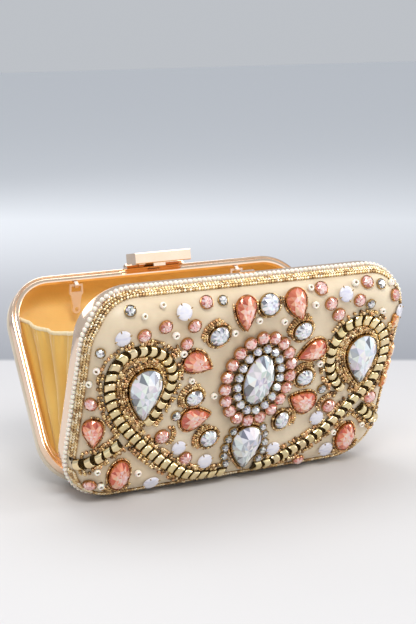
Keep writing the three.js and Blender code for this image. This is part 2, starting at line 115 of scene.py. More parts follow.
class Bunch:
    """Many small shapes gathered into one mesh, each face with its own tint."""

    def __init__(self):
        self.verts = []
        self.faces = []
        self.tints = []
        self.count = 0

    def add(self, shape, spot, scale=1.0, turn=0.0, tint=(1, 1, 1), face_tints=None):
        """shape is (points, faces) round its own origin; spot is (point, right, up, normal)."""
        points, faces = shape
        point, right, up, normal = spot
        c, s = math.cos(turn), math.sin(turn)
        local = np.asarray(points, float) * scale
        along = local[:, 0] * c - local[:, 1] * s
        across = local[:, 0] * s + local[:, 1] * c
        placed = point + np.outer(along, right) + np.outer(across, up) + np.outer(local[:, 2], normal)
        self.verts.append(placed)
        self.faces.extend([tuple(i + self.count for i in face) for face in faces])
        self.tints.extend(face_tints if face_tints is not None else [tint] * len(faces))
        self.count += len(points)

    def piece(self, name, material, side=FRONT, angle=35):
        """The whole bunch as one mesh riding on a half."""
        return make_piece(name, np.concatenate(self.verts), self.faces, material, BODY[side], HALF[side],
                          angle, self.tints)


def ring_faces(rings, count, loop=False):
    """Quads between rings of points that each hold count points."""
    faces = []
    for r in range(rings if loop else rings - 1):
        a, b = r * count, ((r + 1) % rings) * count
        for k in range(count):
            n = (k + 1) % count
            faces.append((a + k, b + k, b + n, a + n))
    return faces


def lathe(profile, sides):
    """A turned shape round z from (radius, z) points; a point on the axis closes the end."""
    points, faces, rows = [], [], []
    for radius, z in profile:
        if radius < 1e-6:
            rows.append([len(points)])
            points.append((0, 0, z))
        else:
            rows.append(list(range(len(points), len(points) + sides)))
            for k in range(sides):
                t = 2 * math.pi * k / sides
                points.append((radius * math.cos(t), radius * math.sin(t), z))
    for low, high in zip(rows, rows[1:]):
        for k in range(sides):
            n = (k + 1) % sides
            corners = [low[k % len(low)], low[n % len(low)], high[n % len(high)], high[k % len(high)]]
            faces.append(tuple(dict.fromkeys(corners)))
    return np.array(points), faces


def ball(radius, sides, rows):
    """A round ball, its poles along z."""
    angles = [math.pi * (k / rows - 0.5) for k in range(rows + 1)]
    profile = [(radius * math.cos(a), radius * math.sin(a)) for a in angles]
    profile[0] = (0, profile[0][1])
    profile[-1] = (0, profile[-1][1])
    return lathe(profile, sides)


def bead(radius, length, hole, sides=9):
    """A small round bead with a hole through it along z."""
    outer = [(hole + (radius - hole) * math.sin(a), -length / 2 * math.cos(a))
             for a in (math.pi * k / 5 for k in range(6))]
    points, faces = lathe(outer, sides)
    rings = len(outer)
    faces = faces + [(k, (k + 1) % sides, (rings - 1) * sides + (k + 1) % sides, (rings - 1) * sides + k)
                     for k in range(sides)]
    return points, faces


# ---------------------------------------------------------------- the bag's surfaces

def outline(inset, corner_steps=24, straight_step=6.0):
    """Points (x, z) round the half's rounded rectangle, moved in by inset."""
    radius = max(CORNER - inset, 0.5)
    grown = min(inset, CORNER - 0.5)
    reach_x = WIDTH / 2 - CORNER - (inset - grown)
    reach_z = HEIGHT / 2 - CORNER - (inset - grown)
    corners = [(reach_x, reach_z), (-reach_x, reach_z), (-reach_x, -reach_z), (reach_x, -reach_z)]
    spans = [round((WIDTH - 2 * CORNER) / straight_step), round((HEIGHT - 2 * CORNER) / straight_step)]
    points = []
    for quarter, (cx, cz) in enumerate(corners):
        for k in range(corner_steps + 1):
            t = (quarter + k / corner_steps) * math.pi / 2
            points.append((cx + radius * math.cos(t), HEIGHT / 2 + cz + radius * math.sin(t)))
        nx, nz = corners[(quarter + 1) % 4]
        end_t = (quarter + 1) * math.pi / 2
        a = points[-1]
        b = (nx + radius * math.cos(end_t), HEIGHT / 2 + nz + radius * math.sin(end_t))
        steps = spans[quarter % 2]
        points += [(a[0] + (b[0] - a[0]) * k / steps, a[1] + (b[1] - a[1]) * k / steps)
                   for k in range(1, steps)]
    return np.array(points)


def inset_at(x, z):
    """How far a point of the half's face lies in from its outline."""
    dx = abs(x) - (WIDTH / 2 - CORNER)
    dz = abs(z - HEIGHT / 2) - (HEIGHT / 2 - CORNER)
    if dx > 0 and dz > 0:
        return CORNER - math.hypot(dx, dz)
    return CORNER - max(dx, dz)


def round_point(side, offset, degrees):
    """(inset, depth) on the half's rounded side, from its straight edge (0) to its flat face (90)."""
    a = math.radians(degrees)
    inset = ROUND_INSET - (ROUND_INSET - offset) * math.cos(a)
    return inset, EDGE_DEPTH[side] + (FACE_DEPTH - EDGE_DEPTH[side] - offset) * math.sin(a)


def depth_at(x, z):
    """Depth of the front cover's surface below the rim plane at (x, z)."""
    cosine = min(max((ROUND_INSET - inset_at(x, z)) / ROUND_INSET, 0.0), 1.0)
    return EDGE_DEPTH[FRONT] + (FACE_DEPTH - EDGE_DEPTH[FRONT]) * math.sqrt(1 - cosine * cosine)


def front_spot(x, z, lift=0.0, along=None):
    """A place on the front cover: point, right, up and normal, in the front half's rim frame, in mm."""
    step = 0.05
    slope_x = (depth_at(x + step, z) - depth_at(x - step, z)) / (2 * step)
    slope_z = (depth_at(x, z + step) - depth_at(x, z - step)) / (2 * step)
    normal = np.array([-slope_x, -1.0, -slope_z])
    normal /= np.linalg.norm(normal)
    right = np.array([1.0, 0.0, 0.0]) if along is None else np.array([along[0], 0.0, along[1]])
    right = right - normal * right.dot(normal)
    right /= np.linalg.norm(right)
    up = np.cross(normal, right)
    point = np.array([x, -depth_at(x, z), z]) + normal * lift
    return point, right, up, normal


class Route:
    """A smooth route over (x, z) points with even steps along its length."""

    def __init__(self, points):
        pts = np.array(points, float)
        pts = np.vstack([2 * pts[0] - pts[1], pts, 2 * pts[-1] - pts[-2]])
        dense = []
        for i in range(1, len(pts) - 2):
            p0, p1, p2, p3 = pts[i - 1:i + 3]
            for t in np.linspace(0, 1, 24, endpoint=False):
                dense.append(0.5 * (2 * p1 + (p2 - p0) * t + (2 * p0 - 5 * p1 + 4 * p2 - p3) * t ** 2
                                    + (3 * p1 - p0 - 3 * p2 + p3) * t ** 3))
        dense.append(pts[-2])
        self.measure(np.array(dense))

    def measure(self, points):
        """Keeps the points, and the distance travelled to each of them."""
        self.points = points
        steps = np.linalg.norm(np.diff(self.points, axis=0), axis=1)
        self.travel = np.concatenate([[0], np.cumsum(steps)])
        self.length = self.travel[-1]

    def at(self, s, side=0.0):
        """(x, z, (tx, tz)) at distance s, moved sideways to the left of travel."""
        s = min(max(s, 0.0), self.length)
        here = [np.interp(s, self.travel, self.points[:, k]) for k in (0, 1)]
        low, high = max(s - 0.5, 0), min(s + 0.5, self.length)
        tangent = np.array([np.interp(high, self.travel, self.points[:, k])
                            - np.interp(low, self.travel, self.points[:, k]) for k in (0, 1)])
        tangent /= np.linalg.norm(tangent)
        return here[0] - tangent[1] * side, here[1] + tangent[0] * side, tangent

    def steps(self, pitch):
        """Distances of evenly spaced places along the route, about pitch apart."""
        count = max(int(round(self.length / pitch)), 1)
        return [(k + 0.5) * self.length / count for k in range(count)]


# ---------------------------------------------------------------- materials

def new_material(name):
    """A material with its node tree and its main shader."""
    material = bpy.data.materials.new(name)
    material.use_nodes = True
    return material, material.node_tree, material.node_tree.nodes["Principled BSDF"]


def link(tree, a, out, b, into):
    tree.links.new(a.outputs[out], b.inputs[into])


def noise(tree, scale, detail, stretch=(1, 1, 1), rough=0.5):
    coords = tree.nodes.new("ShaderNodeTexCoord")
    mapping = tree.nodes.new("ShaderNodeMapping")
    mapping.inputs["Scale"].default_value = stretch
    texture = tree.nodes.new("ShaderNodeTexNoise")
    texture.inputs["Scale"].default_value = scale
    texture.inputs["Detail"].default_value = detail
    texture.inputs["Roughness"].default_value = rough
    link(tree, coords, "Object", mapping, "Vector")
    link(tree, mapping, "Vector", texture, "Vector")
    return texture


def ramp(tree, source, output, stops):
    node = tree.nodes.new("ShaderNodeValToRGB")
    elements = node.color_ramp.elements
    while len(elements) < len(stops):
        elements.new(0.5)
    for element, (place, colour) in zip(elements, stops):
        element.position = place
        element.color = (*colour, 1.0)
    link(tree, source, output, node, "Fac")
    return node


def map_range(tree, source, output, low, high):
    node = tree.nodes.new("ShaderNodeMapRange")
    node.inputs["To Min"].default_value = low
    node.inputs["To Max"].default_value = high
    link(tree, source, output, node, "Value")
    return node


def bump(tree, shader, source, output, strength, distance):
    node = tree.nodes.new("ShaderNodeBump")
    node.inputs["Strength"].default_value = strength
    node.inputs["Distance"].default_value = distance
    link(tree, source, output, node, "Height")
    link(tree, node, "Normal", shader, "Normal")


def base_product(tree, shader, a, b, amount):
    """Base colour from a's colour multiplied by b's, b counting for amount."""
    mix = tree.nodes.new("ShaderNodeMix")
    mix.data_type = "RGBA"
    mix.blend_type = "MULTIPLY"
    mix.inputs["Factor"].default_value = amount
    link(tree, a, "Color", mix, "A")
    link(tree, b, "Color", mix, "B")
    link(tree, mix, "Result", shader, "Base Color")


def tinted(tree, shader, stops_node):
    """Base colour from the mesh's tint attribute times a colour node; on stones, settings, seeds and chain
    cores this tint also holds painted reflection, glint and shade.
    """
    tint = tree.nodes.new("ShaderNodeAttribute")
    tint.attribute_name = "tint"
    base_product(tree, shader, tint, stops_node, 1.0)


def metal_material(name, low, high, rough=(0.08, 0.2), polish_scale=900.0, with_tint=False):
    """Polished plated metal with faint colour drift, handling marks and fine polishing lines."""
    material, tree, shader = new_material(name)
    shader.inputs["Metallic"].default_value = 1.0
    drift = noise(tree, 60.0, 3.0)
    colour = ramp(tree, drift, "Fac", [(0.3, low), (0.7, high)])
    if with_tint:
        tinted(tree, shader, colour)
    else:
        link(tree, colour, "Color", shader, "Base Color")
    marks = noise(tree, 420.0, 6.0, (1, 1, 1), 0.65)
    link(tree, map_range(tree, marks, "Fac", *rough), "Result", shader, "Roughness")
    lines = noise(tree, polish_scale, 2.0, (0.08, 1, 1))
    bump(tree, shader, lines, "Fac", 0.06, 0.0001)
    return material


def satin_material(name, dark, light, sheen=0.5, weave=5200.0, rough=(0.34, 0.5)):
    """Woven satin: fine floats across, soft colour drift and a broad sheen."""
    material, tree, shader = new_material(name)
    drift = noise(tree, 38.0, 5.0, (1, 1, 0.6))
    colour = ramp(tree, drift, "Fac", [(0.25, dark), (0.75, light)])
    coords = tree.nodes.new("ShaderNodeTexCoord")
    floats = tree.nodes.new("ShaderNodeTexWave")
    floats.wave_type = "BANDS"
    floats.bands_direction = "DIAGONAL"
    floats.inputs["Scale"].default_value = weave / 20
    floats.inputs["Distortion"].default_value = 1.5
    floats.inputs["Detail"].default_value = 2.0
    link(tree, coords, "Object", floats, "Vector")
    threads = noise(tree, weave / 4, 3.0, (0.15, 1, 1))
    base_product(tree, shader, colour, threads, 0.1)
    link(tree, map_range(tree, threads, "Fac", *rough), "Result", shader, "Roughness")
    shader.inputs["Sheen Weight"].default_value = sheen
    shader.inputs["Sheen Roughness"].default_value = 0.35
    shader.inputs["Sheen Tint"].default_value = (1.0, 0.96, 0.88, 1.0)
    shader.inputs["Anisotropic"].default_value = 0.4
    height = tree.nodes.new("ShaderNodeMath")
    height.operation = "ADD"
    link(tree, floats, "Fac", height, 0)
    link(tree, threads, "Fac", height, 1)
    bump(tree, shader, height, "Value", 0.08, 0.0001)
    return material


def crystal_material(name):
    """Foil-backed cut glass: each facet carries a tint of painted reflection and shade over the stone's
    hue, under a hard clear coat.
    """
    material, tree, shader = new_material(name)
    cloud = noise(tree, 260.0, 3.0)
    colour = ramp(tree, cloud, "Fac", [(0.2, (0.86, 0.86, 0.88)), (0.8, (1.0, 1.0, 1.0))])
    tinted(tree, shader, colour)
    shader.inputs["Metallic"].default_value = 0.35
    shader.inputs["Roughness"].default_value = 0.06
    shader.inputs["Coat Weight"].default_value = 1.0
    shader.inputs["Coat Roughness"].default_value = 0.02
    shader.inputs["Coat IOR"].default_value = 1.7
    scratches = noise(tree, 1500.0, 2.0)
    bump(tree, shader, scratches, "Fac", 0.03, 0.00005)
    return material


def pearl_material(name):
    """Pearl: a cloudy cream under a soft coat."""
    material, tree, shader = new_material(name)
    cloud = noise(tree, 500.0, 3.0)
    colour = ramp(tree, cloud, "Fac", [(0.3, (0.86, 0.80, 0.68)), (0.7, (0.97, 0.93, 0.86))])
    tinted(tree, shader, colour)
    link(tree, map_range(tree, cloud, "Fac", 0.16, 0.3), "Result", shader, "Roughness")
    shader.inputs["Coat Weight"].default_value = 0.6
    shader.inputs["Coat Roughness"].default_value = 0.08
    shader.inputs["Sheen Weight"].default_value = 0.3
    shader.inputs["Sheen Tint"].default_value = (1.0, 0.85, 0.85, 1.0)
    shader.inputs["Subsurface Weight"].default_value = 0.15
    shader.inputs["Subsurface Scale"].default_value = 0.001
    bump(tree, shader, cloud, "Fac", 0.04, 0.0001)
    return material


def opal_material(name):
    """Opal plastic: milky lilac-white with soft pearl streaks."""
    material, tree, shader = new_material(name)
    streaks = noise(tree, 180.0, 4.0, (1, 1, 3))
    colour = ramp(tree, streaks, "Fac", [(0.25, (0.62, 0.62, 0.76)), (0.5, (0.78, 0.78, 0.84)),
                                         (0.8, (0.86, 0.82, 0.80))])
    tinted(tree, shader, colour)
    link(tree, map_range(tree, streaks, "Fac", 0.25, 0.42), "Result", shader, "Roughness")
    shader.inputs["Coat Weight"].default_value = 0.5
    shader.inputs["Coat Roughness"].default_value = 0.15
    bump(tree, shader, streaks, "Fac", 0.1, 0.0002)
    return material


ROSE_GOLD = metal_material("rose_gold", (0.94, 0.68, 0.48), (0.98, 0.76, 0.58), (0.09, 0.18))
CLASP_GOLD = metal_material("clasp_gold", (0.96, 0.72, 0.53), (0.99, 0.79, 0.61), (0.12, 0.2))
TAB_GOLD = metal_material("tab_gold", (0.98, 0.86, 0.76), (1.0, 0.92, 0.84), (0.42, 0.52))
CHAIN_GOLD = metal_material("chain_gold", (0.88, 0.72, 0.42), (0.97, 0.85, 0.56), (0.16, 0.3), 1400.0, True)
SEED_GOLD = metal_material("seed_gold", (0.80, 0.62, 0.36), (0.93, 0.78, 0.52), (0.14, 0.3), 900.0, True)
BRAID_GOLD = metal_material("braid_gold", (0.84, 0.70, 0.50), (0.95, 0.85, 0.68), (0.2, 0.34), 900.0, True)
STEEL = metal_material("spring_steel", (0.5, 0.5, 0.52), (0.65, 0.65, 0.67), (0.2, 0.35))
SATIN = satin_material("cover_satin", (0.66, 0.51, 0.33), (0.86, 0.74, 0.55))
LINING = satin_material("lining_satin", (0.78, 0.47, 0.11), (0.94, 0.62, 0.20), 0.3)
# The gusset's rolled hem: the gusset's satin painted lighter, as painted light on its top edge.
LIT_HEM_SATIN = satin_material("gusset_hem", (0.90, 0.68, 0.34), (1.0, 0.86, 0.58), 0.3)
GUSSET = satin_material("gusset_satin", (0.80, 0.42, 0.06), (0.94, 0.60, 0.16), 0.3)
CARD = satin_material("shell_card", (0.20, 0.17, 0.13), (0.28, 0.24, 0.18), 0.0, 3000.0, (0.7, 0.9))
CRYSTAL = crystal_material("cut_crystal")
PEARL = pearl_material("edge_pearl")
MILKY = opal_material("opal_sequin")


# ---------------------------------------------------------------- shells, frames, gussets

FRAME_SECTION = [
    (0.05, 0.65), (0.2, 0.3), (0.5, 0.15), (1.0, 0.15), (1.15, 0.25), (1.3, 0.7), (1.45, 0.85), (1.8, 0.85),
    (1.95, 0.7), (2.1, 0.25), (2.3, 0.15), (4.2, 0.15), (4.45, 0.25), (4.55, 0.5), (4.6, 3.4), (3.95, 3.4),
    (3.95, 1.45), (1.0, 1.45),
]
LIP = [(1.0, 0.2), (0.35, 0.2), (0.05, -0.1)]
HINGE_X = (-58.0, 58.0)
HINGE_LENGTH = 18.0
KNUCKLE_RELIEF = 2.3
KNUCKLE_END_GAP = 1.2
COVER_START, LINING_RIM = 0.5, 1.75
COVER_WALLS, LINING_WALLS = (0.0, 1.0), (3.1, 3.65)
WALL_MIDDLE, ROUND_STEPS, FACE_ROWS, RIPPLE_RINGS = 0.6, 12, 12, 6


def rim_points(side, inset, depth):
    """The rim's outline moved in by inset, at a depth from the rim plane."""
    line = outline(inset)
    return np.column_stack([line[:, 0], np.full(len(line), side * depth), line[:, 1]])


def cut_relief(piece):
    """Clears the frame round the hinge knuckles with two round cutters along the hinge line."""
    cutters = []
    for x in HINGE_X:
        bpy.ops.mesh.primitive_cylinder_add(
            vertices=32, radius=KNUCKLE_RELIEF * MM, depth=(HINGE_LENGTH + KNUCKLE_END_GAP) * MM,
            location=HINGE + Vector((x, 0, 0)) * MM, rotation=(0, math.pi / 2, 0))
        cutters.append(bpy.context.object)
        cut = piece.modifiers.new("relief", "BOOLEAN")
        cut.operation = "DIFFERENCE"
        cut.object = cutters[-1]
    bpy.context.view_layer.update()
    graph = bpy.context.evaluated_depsgraph_get()
    clean = bpy.data.meshes.new_from_object(piece.evaluated_get(graph))
    piece.modifiers.clear()
    piece.data = clean
    for cutter in cutters:
        bpy.data.objects.remove(cutter)
    smooth_mesh(piece.data, 32)


def frame_piece(side, name, node):
    """A half's polished frame, cut clear of the hinge knuckles."""
    section = FRAME_SECTION + [(inset, EDGE_DEPTH[side] + over) for inset, over in LIP]
    rings = [rim_points(side, inset, depth) for inset, depth in section]
    faces = ring_faces(len(rings), len(rings[0]), loop=True)
    piece = make_piece(name, np.concatenate(rings), faces, ROSE_GOLD, None, HALF[side])
    cut_relief(piece)
    piece.data.materials.clear()
    piece.data.materials.append(ROSE_GOLD)
    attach(piece, BODY[side])
    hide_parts(node)


def wave_field(seed, count, lengths, size):
    """A smooth random field over (x, z): a sum of waves, their lengths in mm drawn between two limits."""
    source = random.Random(seed)
    waves = []
    for _ in range(count):
        way = source.uniform(0, math.pi)
        length = source.uniform(*lengths)
        waves.append((math.cos(way) * 2 * math.pi / length, math.sin(way) * 2 * math.pi / length,
                      source.uniform(0, 2 * math.pi)))

    def field(x, z):
        return size * sum(math.sin(a * x + b * z + c) for a, b, c in waves) / math.sqrt(count)

    return field


def fill_face(ring, rows):
    """Rings shrinking from a closed ring of (x, z) points to its middle, so that the face can ripple."""
    middle = ring.mean(axis=0)
    spread = ring - middle
    reach = np.array([max(abs(spread[:, 0]).max() - abs(spread[:, 1]).max(), 0.0), 0.0])
    spine = np.clip(spread, -reach, reach)
    return [middle + spine + (spread - spine) * (1 - k / rows) for k in range(1, rows)]


def cup_piece(side, name, node, offsets, rim, material, ripple):
    """A fabric-covered cup: a rim, a rounded side and a flat face that ripples a little, with two walls."""
    walls = []
    for wall, offset in enumerate(offsets):
        section = [(offset, rim)]
        section += [round_point(side, offset, 90 * k / ROUND_STEPS) for k in range(ROUND_STEPS + 1)]
        if rim < EDGE_DEPTH[side]:
            section.insert(1, (offset, EDGE_DEPTH[side] * WALL_MIDDLE))
        else:
            section.pop(1)
        rings = [rim_points(side, inset, depth) for inset, depth in section]
        edge_inset, depth = section[-1]
        for row in fill_face(outline(edge_inset), FACE_ROWS):
            rings.append(np.column_stack([row[:, 0], np.full(len(row), side * depth), row[:, 1]]))
        for k, ring in enumerate(rings):
            growth = min(k / RIPPLE_RINGS, 1.0)
            ring[:, 1] += [side * growth * ripple(x, z) for x, z in zip(ring[:, 0], ring[:, 2])]
        walls.append(rings if wall == 0 else rings[::-1])
    count = len(walls[0][0])
    outer, inner = walls
    points = np.concatenate(outer + inner)
    split = len(outer) * count
    faces = ring_faces(len(outer), count)
    faces += [tuple(i + split for i in face) for face in ring_faces(len(inner), count)]
    faces += [(k, (k + 1) % count, split + (len(inner) - 1) * count + (k + 1) % count,
               split + (len(inner) - 1) * count + k) for k in range(count)]
    faces.append(tuple((len(outer) - 1) * count + k for k in range(count)))
    faces.append(tuple(split + k for k in range(count)))
    piece = make_piece(name, points, faces, material, BODY[side], HALF[side], 60)
    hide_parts(node)
    return piece


def rim_frame_point(side, depth, z):
    """(y, z) in the row frame from the hinge line, of a point of a half's rim frame, in mm."""
    lean = BACK_LEAN if side == BACK else FRONT_LEAN
    y = z * math.sin(lean) + depth * math.cos(lean)
    return np.array([side * y, z * math.cos(lean) - depth * math.sin(lean)])


def strip_mesh(grid, thickness):
    """Points and faces of a sheet of given thickness from a grid of points (rows of equal length)."""
    grid = np.asarray(grid, float)
    rows, cols = grid.shape[:2]
    along = np.gradient(grid, axis=0)
    across = np.gradient(grid, axis=1)
    normal = np.cross(along, across)
    normal /= np.linalg.norm(normal, axis=2, keepdims=True)
    top = (grid + normal * thickness / 2).reshape(-1, 3)
    low = (grid - normal * thickness / 2).reshape(-1, 3)
    size = rows * cols
    faces = []
    for r in range(rows - 1):
        for c in range(cols - 1):
            a = r * cols + c
            quad = (a, a + 1, a + cols + 1, a + cols)
            faces.append(quad)
            faces.append(tuple(i + size for i in reversed(quad)))
    border = ([c for c in range(cols)] + [r * cols + cols - 1 for r in range(1, rows)]
              + [(rows - 1) * cols + c for c in range(cols - 2, -1, -1)]
              + [r * cols for r in range(rows - 2, 0, -1)])
    for a, b in zip(border, border[1:] + border[:1]):
        faces.append((a, a + size, b + size, b))
    return np.concatenate([top, low]), faces


GUSSET_LOW, GUSSET_HIGH, GUSSET_REACH, GUSSET_SAG = 22.0, 102.0, 4.6, 6.0
GUSSET_EDGE_X, GUSSET_MIDDLE_X = 94.4, 92.6
SHEET_THICK = 0.5
PLEATS, PLEAT_FOOT, PLEAT_GROWTH = 4, 0.9, 5.6
GATHERS, GATHER_START, GATHER_SPAN, GATHER_DEPTH = 24, 0.78, 0.22, 0.5
HEM_UP, HEM_RADIUS, HEM_STEPS = 0.992, 0.8, 96


def gusset_point(sign, across, up):
    """A point of the side gusset: across 0 at the back rim and 1 at the front, up 0 at the hinge end."""
    height = GUSSET_LOW + (GUSSET_HIGH - GUSSET_LOW) * up
    back = rim_frame_point(BACK, GUSSET_REACH, height)
    front = rim_frame_point(FRONT, GUSSET_REACH, height)
    y, z = back + (front - back) * across
    bow = 4 * across * (1 - across)
    z -= GUSSET_SAG * bow * (0.35 + 0.65 * up ** 2)
    fold = 0.5 - 0.5 * math.cos(2 * math.pi * PLEATS * across + 0.5 * math.sin(3 * up + sign))
    depth = (PLEAT_FOOT + PLEAT_GROWTH * up ** 0.8) * (0.75 + 0.25 * math.sin(5 * across + 2 * sign))
    edge = min(across, 1 - across) * PLEATS * 2
    swell = min(edge, 1.0)
    gather = max(0.0, (up - GATHER_START) / GATHER_SPAN)
    depth *= 1 - 0.5 * gather
    x = GUSSET_EDGE_X - (GUSSET_EDGE_X - GUSSET_MIDDLE_X) * bow - depth * fold ** 1.4 * swell
    x -= GATHER_DEPTH * gather * swell * (0.5 - 0.5 * math.cos(2 * math.pi * GATHERS * across + sign))
    x -= 0.35 * math.sin(9 * up + 7 * across) * bow
    return np.array([sign * x, y, z]) + np.array(HINGE) / MM


def blended(piece):
    """Bakes the piece's placement into its own points."""
    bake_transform(piece)


def gusset_piece(sign, label):
    """One pleated side gusset with its rolled hem."""
    cols, rows = 121, 33
    grid = [[gusset_point(sign, c / (cols - 1), r / (rows - 1)) for c in range(cols)] for r in range(rows)]
    points, faces = strip_mesh(grid, SHEET_THICK)
    piece = make_piece(f"{label}_pleated_gusset", points, faces, GUSSET, None, None, 60)
    hem_line = [gusset_point(sign, c / HEM_STEPS, HEM_UP) for c in range(HEM_STEPS + 1)]
    hem_points, hem_faces = tube(hem_line, HEM_RADIUS, 8, squash=1.5)
    hem = make_piece(f"{label}_gusset_hem", hem_points, hem_faces, LIT_HEM_SATIN, None, None, 60)
    blended(piece)
    blended(hem)
    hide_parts(f"{label}_gusset")


def tube(line, radius, sides, squash):
    """A tube along a line of points, taller than wide by squash, with flat ends."""
    line = np.asarray(line, float)
    rings = []
    for k in range(len(line)):
        along = line[min(k + 1, len(line) - 1)] - line[max(k - 1, 0)]
        along /= np.linalg.norm(along)
        side = np.cross(along, (0, 0, 1.0))
        side /= np.linalg.norm(side)
        top = np.cross(side, along)
        rings.append([line[k] + radius * (side * math.cos(t) + top * squash * math.sin(t))
                      for t in (2 * math.pi * j / sides for j in range(sides))])
    faces = ring_faces(len(rings), sides)
    faces += [tuple(range(sides)), tuple((len(rings) - 1) * sides + j for j in range(sides))]
    return np.concatenate(rings), faces


HINGE_STRIP_X, STRIP_REACH, STRIP_HEIGHT = 88.0, 6.5, 5.6
STRIP_BOW, STRIP_RIPPLE, STRIP_LOWEST = 2.6, 0.1, 3.2


def hinge_strip():
    """The lining that crosses from one half to the other over the hinges."""
    rows, cols = 61, 21
    a = rim_frame_point(BACK, STRIP_REACH, STRIP_HEIGHT)
    b = rim_frame_point(FRONT, STRIP_REACH, STRIP_HEIGHT)
    grid = []
    for r in range(rows):
        x = -HINGE_STRIP_X + 2 * HINGE_STRIP_X * r / (rows - 1)
        line = []
        for c in range(cols):
            t = c / (cols - 1)
            y, z = a + (b - a) * t
            z = z + STRIP_BOW * math.sin(math.pi * t) + STRIP_RIPPLE * math.sin(x * 0.35 + 4 * t)
            line.append(np.array([x, y, max(z, STRIP_LOWEST)]) + np.array(HINGE) / MM)
        grid.append(line)
    points, faces = strip_mesh(grid, SHEET_THICK)
    piece = make_piece("hinge_lining_strip", points, faces, LINING, None, None, 60)
    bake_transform(piece)


for half_side, half_label in ((BACK, "back"), (FRONT, "front")):
    frame_piece(half_side, f"{half_label}_polished_frame", f"{half_label}_frame")
    cover = cup_piece(half_side, f"{half_label}_satin_cover", f"{half_label}_cover", COVER_WALLS,
                      EDGE_DEPTH[half_side] + COVER_START, SATIN,
                      wave_field(3 + half_side, 9, (14, 40), 0.06))
    cloth = cup_piece(half_side, f"{half_label}_lining_cloth", f"{half_label}_lining", LINING_WALLS,
                      LINING_RIM, LINING, wave_field(8 + half_side, 9, (12, 34), 0.1))
gusset_piece(-1, "left")
gusset_piece(1, "right")
hinge_strip()


# ---------------------------------------------------------------- stones and beads

STONES = [
    ("centre_stone", "oval", "clear", 4.2, 69.6, 19, 32, 7.5, 0),
    ("left_pear_stone", "pear", "clear", -65.6, 69, 20, 32, 6, -87),
    ("right_pear_stone", "pear", "clear", 72.2, 73.5, 20, 32, 6, -82),
    ("bottom_pear_stone", "pear", "clear", 4.7, 24.4, 20, 28, 6, -88),
    ("peach_pear_top_left", "pear", "peach", -10.8, 112.2, 12.5, 20, 4, -84),
    ("peach_pear_top_right", "pear", "peach", 21.5, 113.8, 13, 19, 4, -70),
    ("peach_pear_upper_left", "pear", "peach", -35.6, 84.6, 13, 18.5, 4, -25),
    ("peach_pear_upper_right", "pear", "peach", 37.4, 82.6, 13, 18, 4, 200),
    ("peach_pear_lower_left", "pear", "peach", -31.4, 48.9, 14, 17.5, 4, 10),
    ("peach_pear_lower_right", "pear", "peach", 37.6, 49.8, 14, 18, 4, 155),
    ("peach_pear_outer_left", "pear", "peach", -91.8, 47.5, 11.5, 17, 4, -80),
    ("peach_oval_left", "oval", "peach", -73.4, 18.6, 12, 18, 4.5, 0),
    ("peach_oval_right", "oval", "peach", 73.8, 20.1, 12, 18, 4.5, 0),
    ("clear_round_top", "oval", "clear", 3.8, 115.2, 12, 12, 4, 0),
    ("clear_round_upper_left", "oval", "clear", -25.5, 100.3, 11.5, 11.5, 4, 0),
    ("clear_round_upper_right", "oval", "clear", 28.4, 97, 11, 11, 4, 0),
    ("clear_round_middle_left", "oval", "clear", -34.3, 62.5, 10, 9.5, 3.8, 0),
    ("clear_round_middle_right", "oval", "clear", 36, 65.8, 10.5, 10, 3.8, 0),
    ("clear_round_lower_left", "oval", "clear", -20.5, 34.1, 10.5, 10.5, 3.8, 0),
    ("clear_round_lower_right", "oval", "clear", 26.2, 38.9, 8.5, 11, 3.8, 0),
    ("pink_round_left", "oval", "pink", -50.4, 39.7, 8, 8, 3.2, 0),
    ("pink_round_right", "oval", "pink", 57.1, 43.6, 8, 8, 3.2, 0),
]
RING_CENTRE = (4.2, 69.6)
STONE_LIFT = 0.3
PEAR_FULLNESS = 1.25

# Facet tints, from light to dark, for each colour of stone: its crown, then what shows through its table.
# They are the stone's own hue with painted reflection and shade laid over it; on the clear stones they are
# painted reflection alone.
CROWN_HUE_AND_PAINTED_REFLECTION = {
    "clear": [(0.90, 0.92, 0.95), (0.72, 0.75, 0.80), (0.96, 0.97, 0.98), (0.46, 0.49, 0.55),
              (0.84, 0.86, 0.88), (0.24, 0.25, 0.29)],
    "peach": [(0.86, 0.22, 0.10), (0.74, 0.12, 0.05), (0.92, 0.36, 0.20), (0.50, 0.07, 0.03),
              (0.95, 0.50, 0.34), (0.70, 0.16, 0.07)],
    "pink": [(0.88, 0.40, 0.32), (0.78, 0.24, 0.18), (0.94, 0.56, 0.48), (0.48, 0.14, 0.10),
             (0.97, 0.72, 0.66), (0.84, 0.34, 0.22)],
    "smoke": [(0.40, 0.38, 0.36), (0.16, 0.15, 0.15), (0.75, 0.74, 0.72), (0.08, 0.08, 0.08),
              (0.95, 0.95, 0.94), (0.28, 0.26, 0.25)],
    "orange": [(0.92, 0.36, 0.08), (0.80, 0.24, 0.05), (0.97, 0.56, 0.22), (0.60, 0.14, 0.03),
               (0.98, 0.76, 0.48), (0.85, 0.30, 0.08)],
}
TABLE_HUE_AND_PAINTED_REFLECTION = {
    "clear": [(0.94, 0.96, 0.98), (0.82, 0.85, 0.90), (0.97, 0.98, 0.99), (0.54, 0.57, 0.63),
              (0.74, 0.77, 0.82)],
    "peach": [(0.97, 0.60, 0.50), (0.95, 0.48, 0.36), (0.98, 0.74, 0.66), (0.86, 0.28, 0.18),
              (0.97, 0.56, 0.46)],
    "pink": [(0.95, 0.62, 0.55), (0.90, 0.48, 0.42), (0.98, 0.80, 0.76), (0.60, 0.22, 0.20),
             (0.94, 0.55, 0.48)],
    "smoke": [(0.85, 0.85, 0.84), (0.35, 0.34, 0.33), (0.60, 0.59, 0.58), (0.95, 0.95, 0.95),
              (0.20, 0.20, 0.20)],
    "orange": [(0.98, 0.70, 0.42), (0.96, 0.55, 0.25), (0.99, 0.82, 0.62), (0.85, 0.36, 0.12),
               (0.97, 0.64, 0.36)],
}


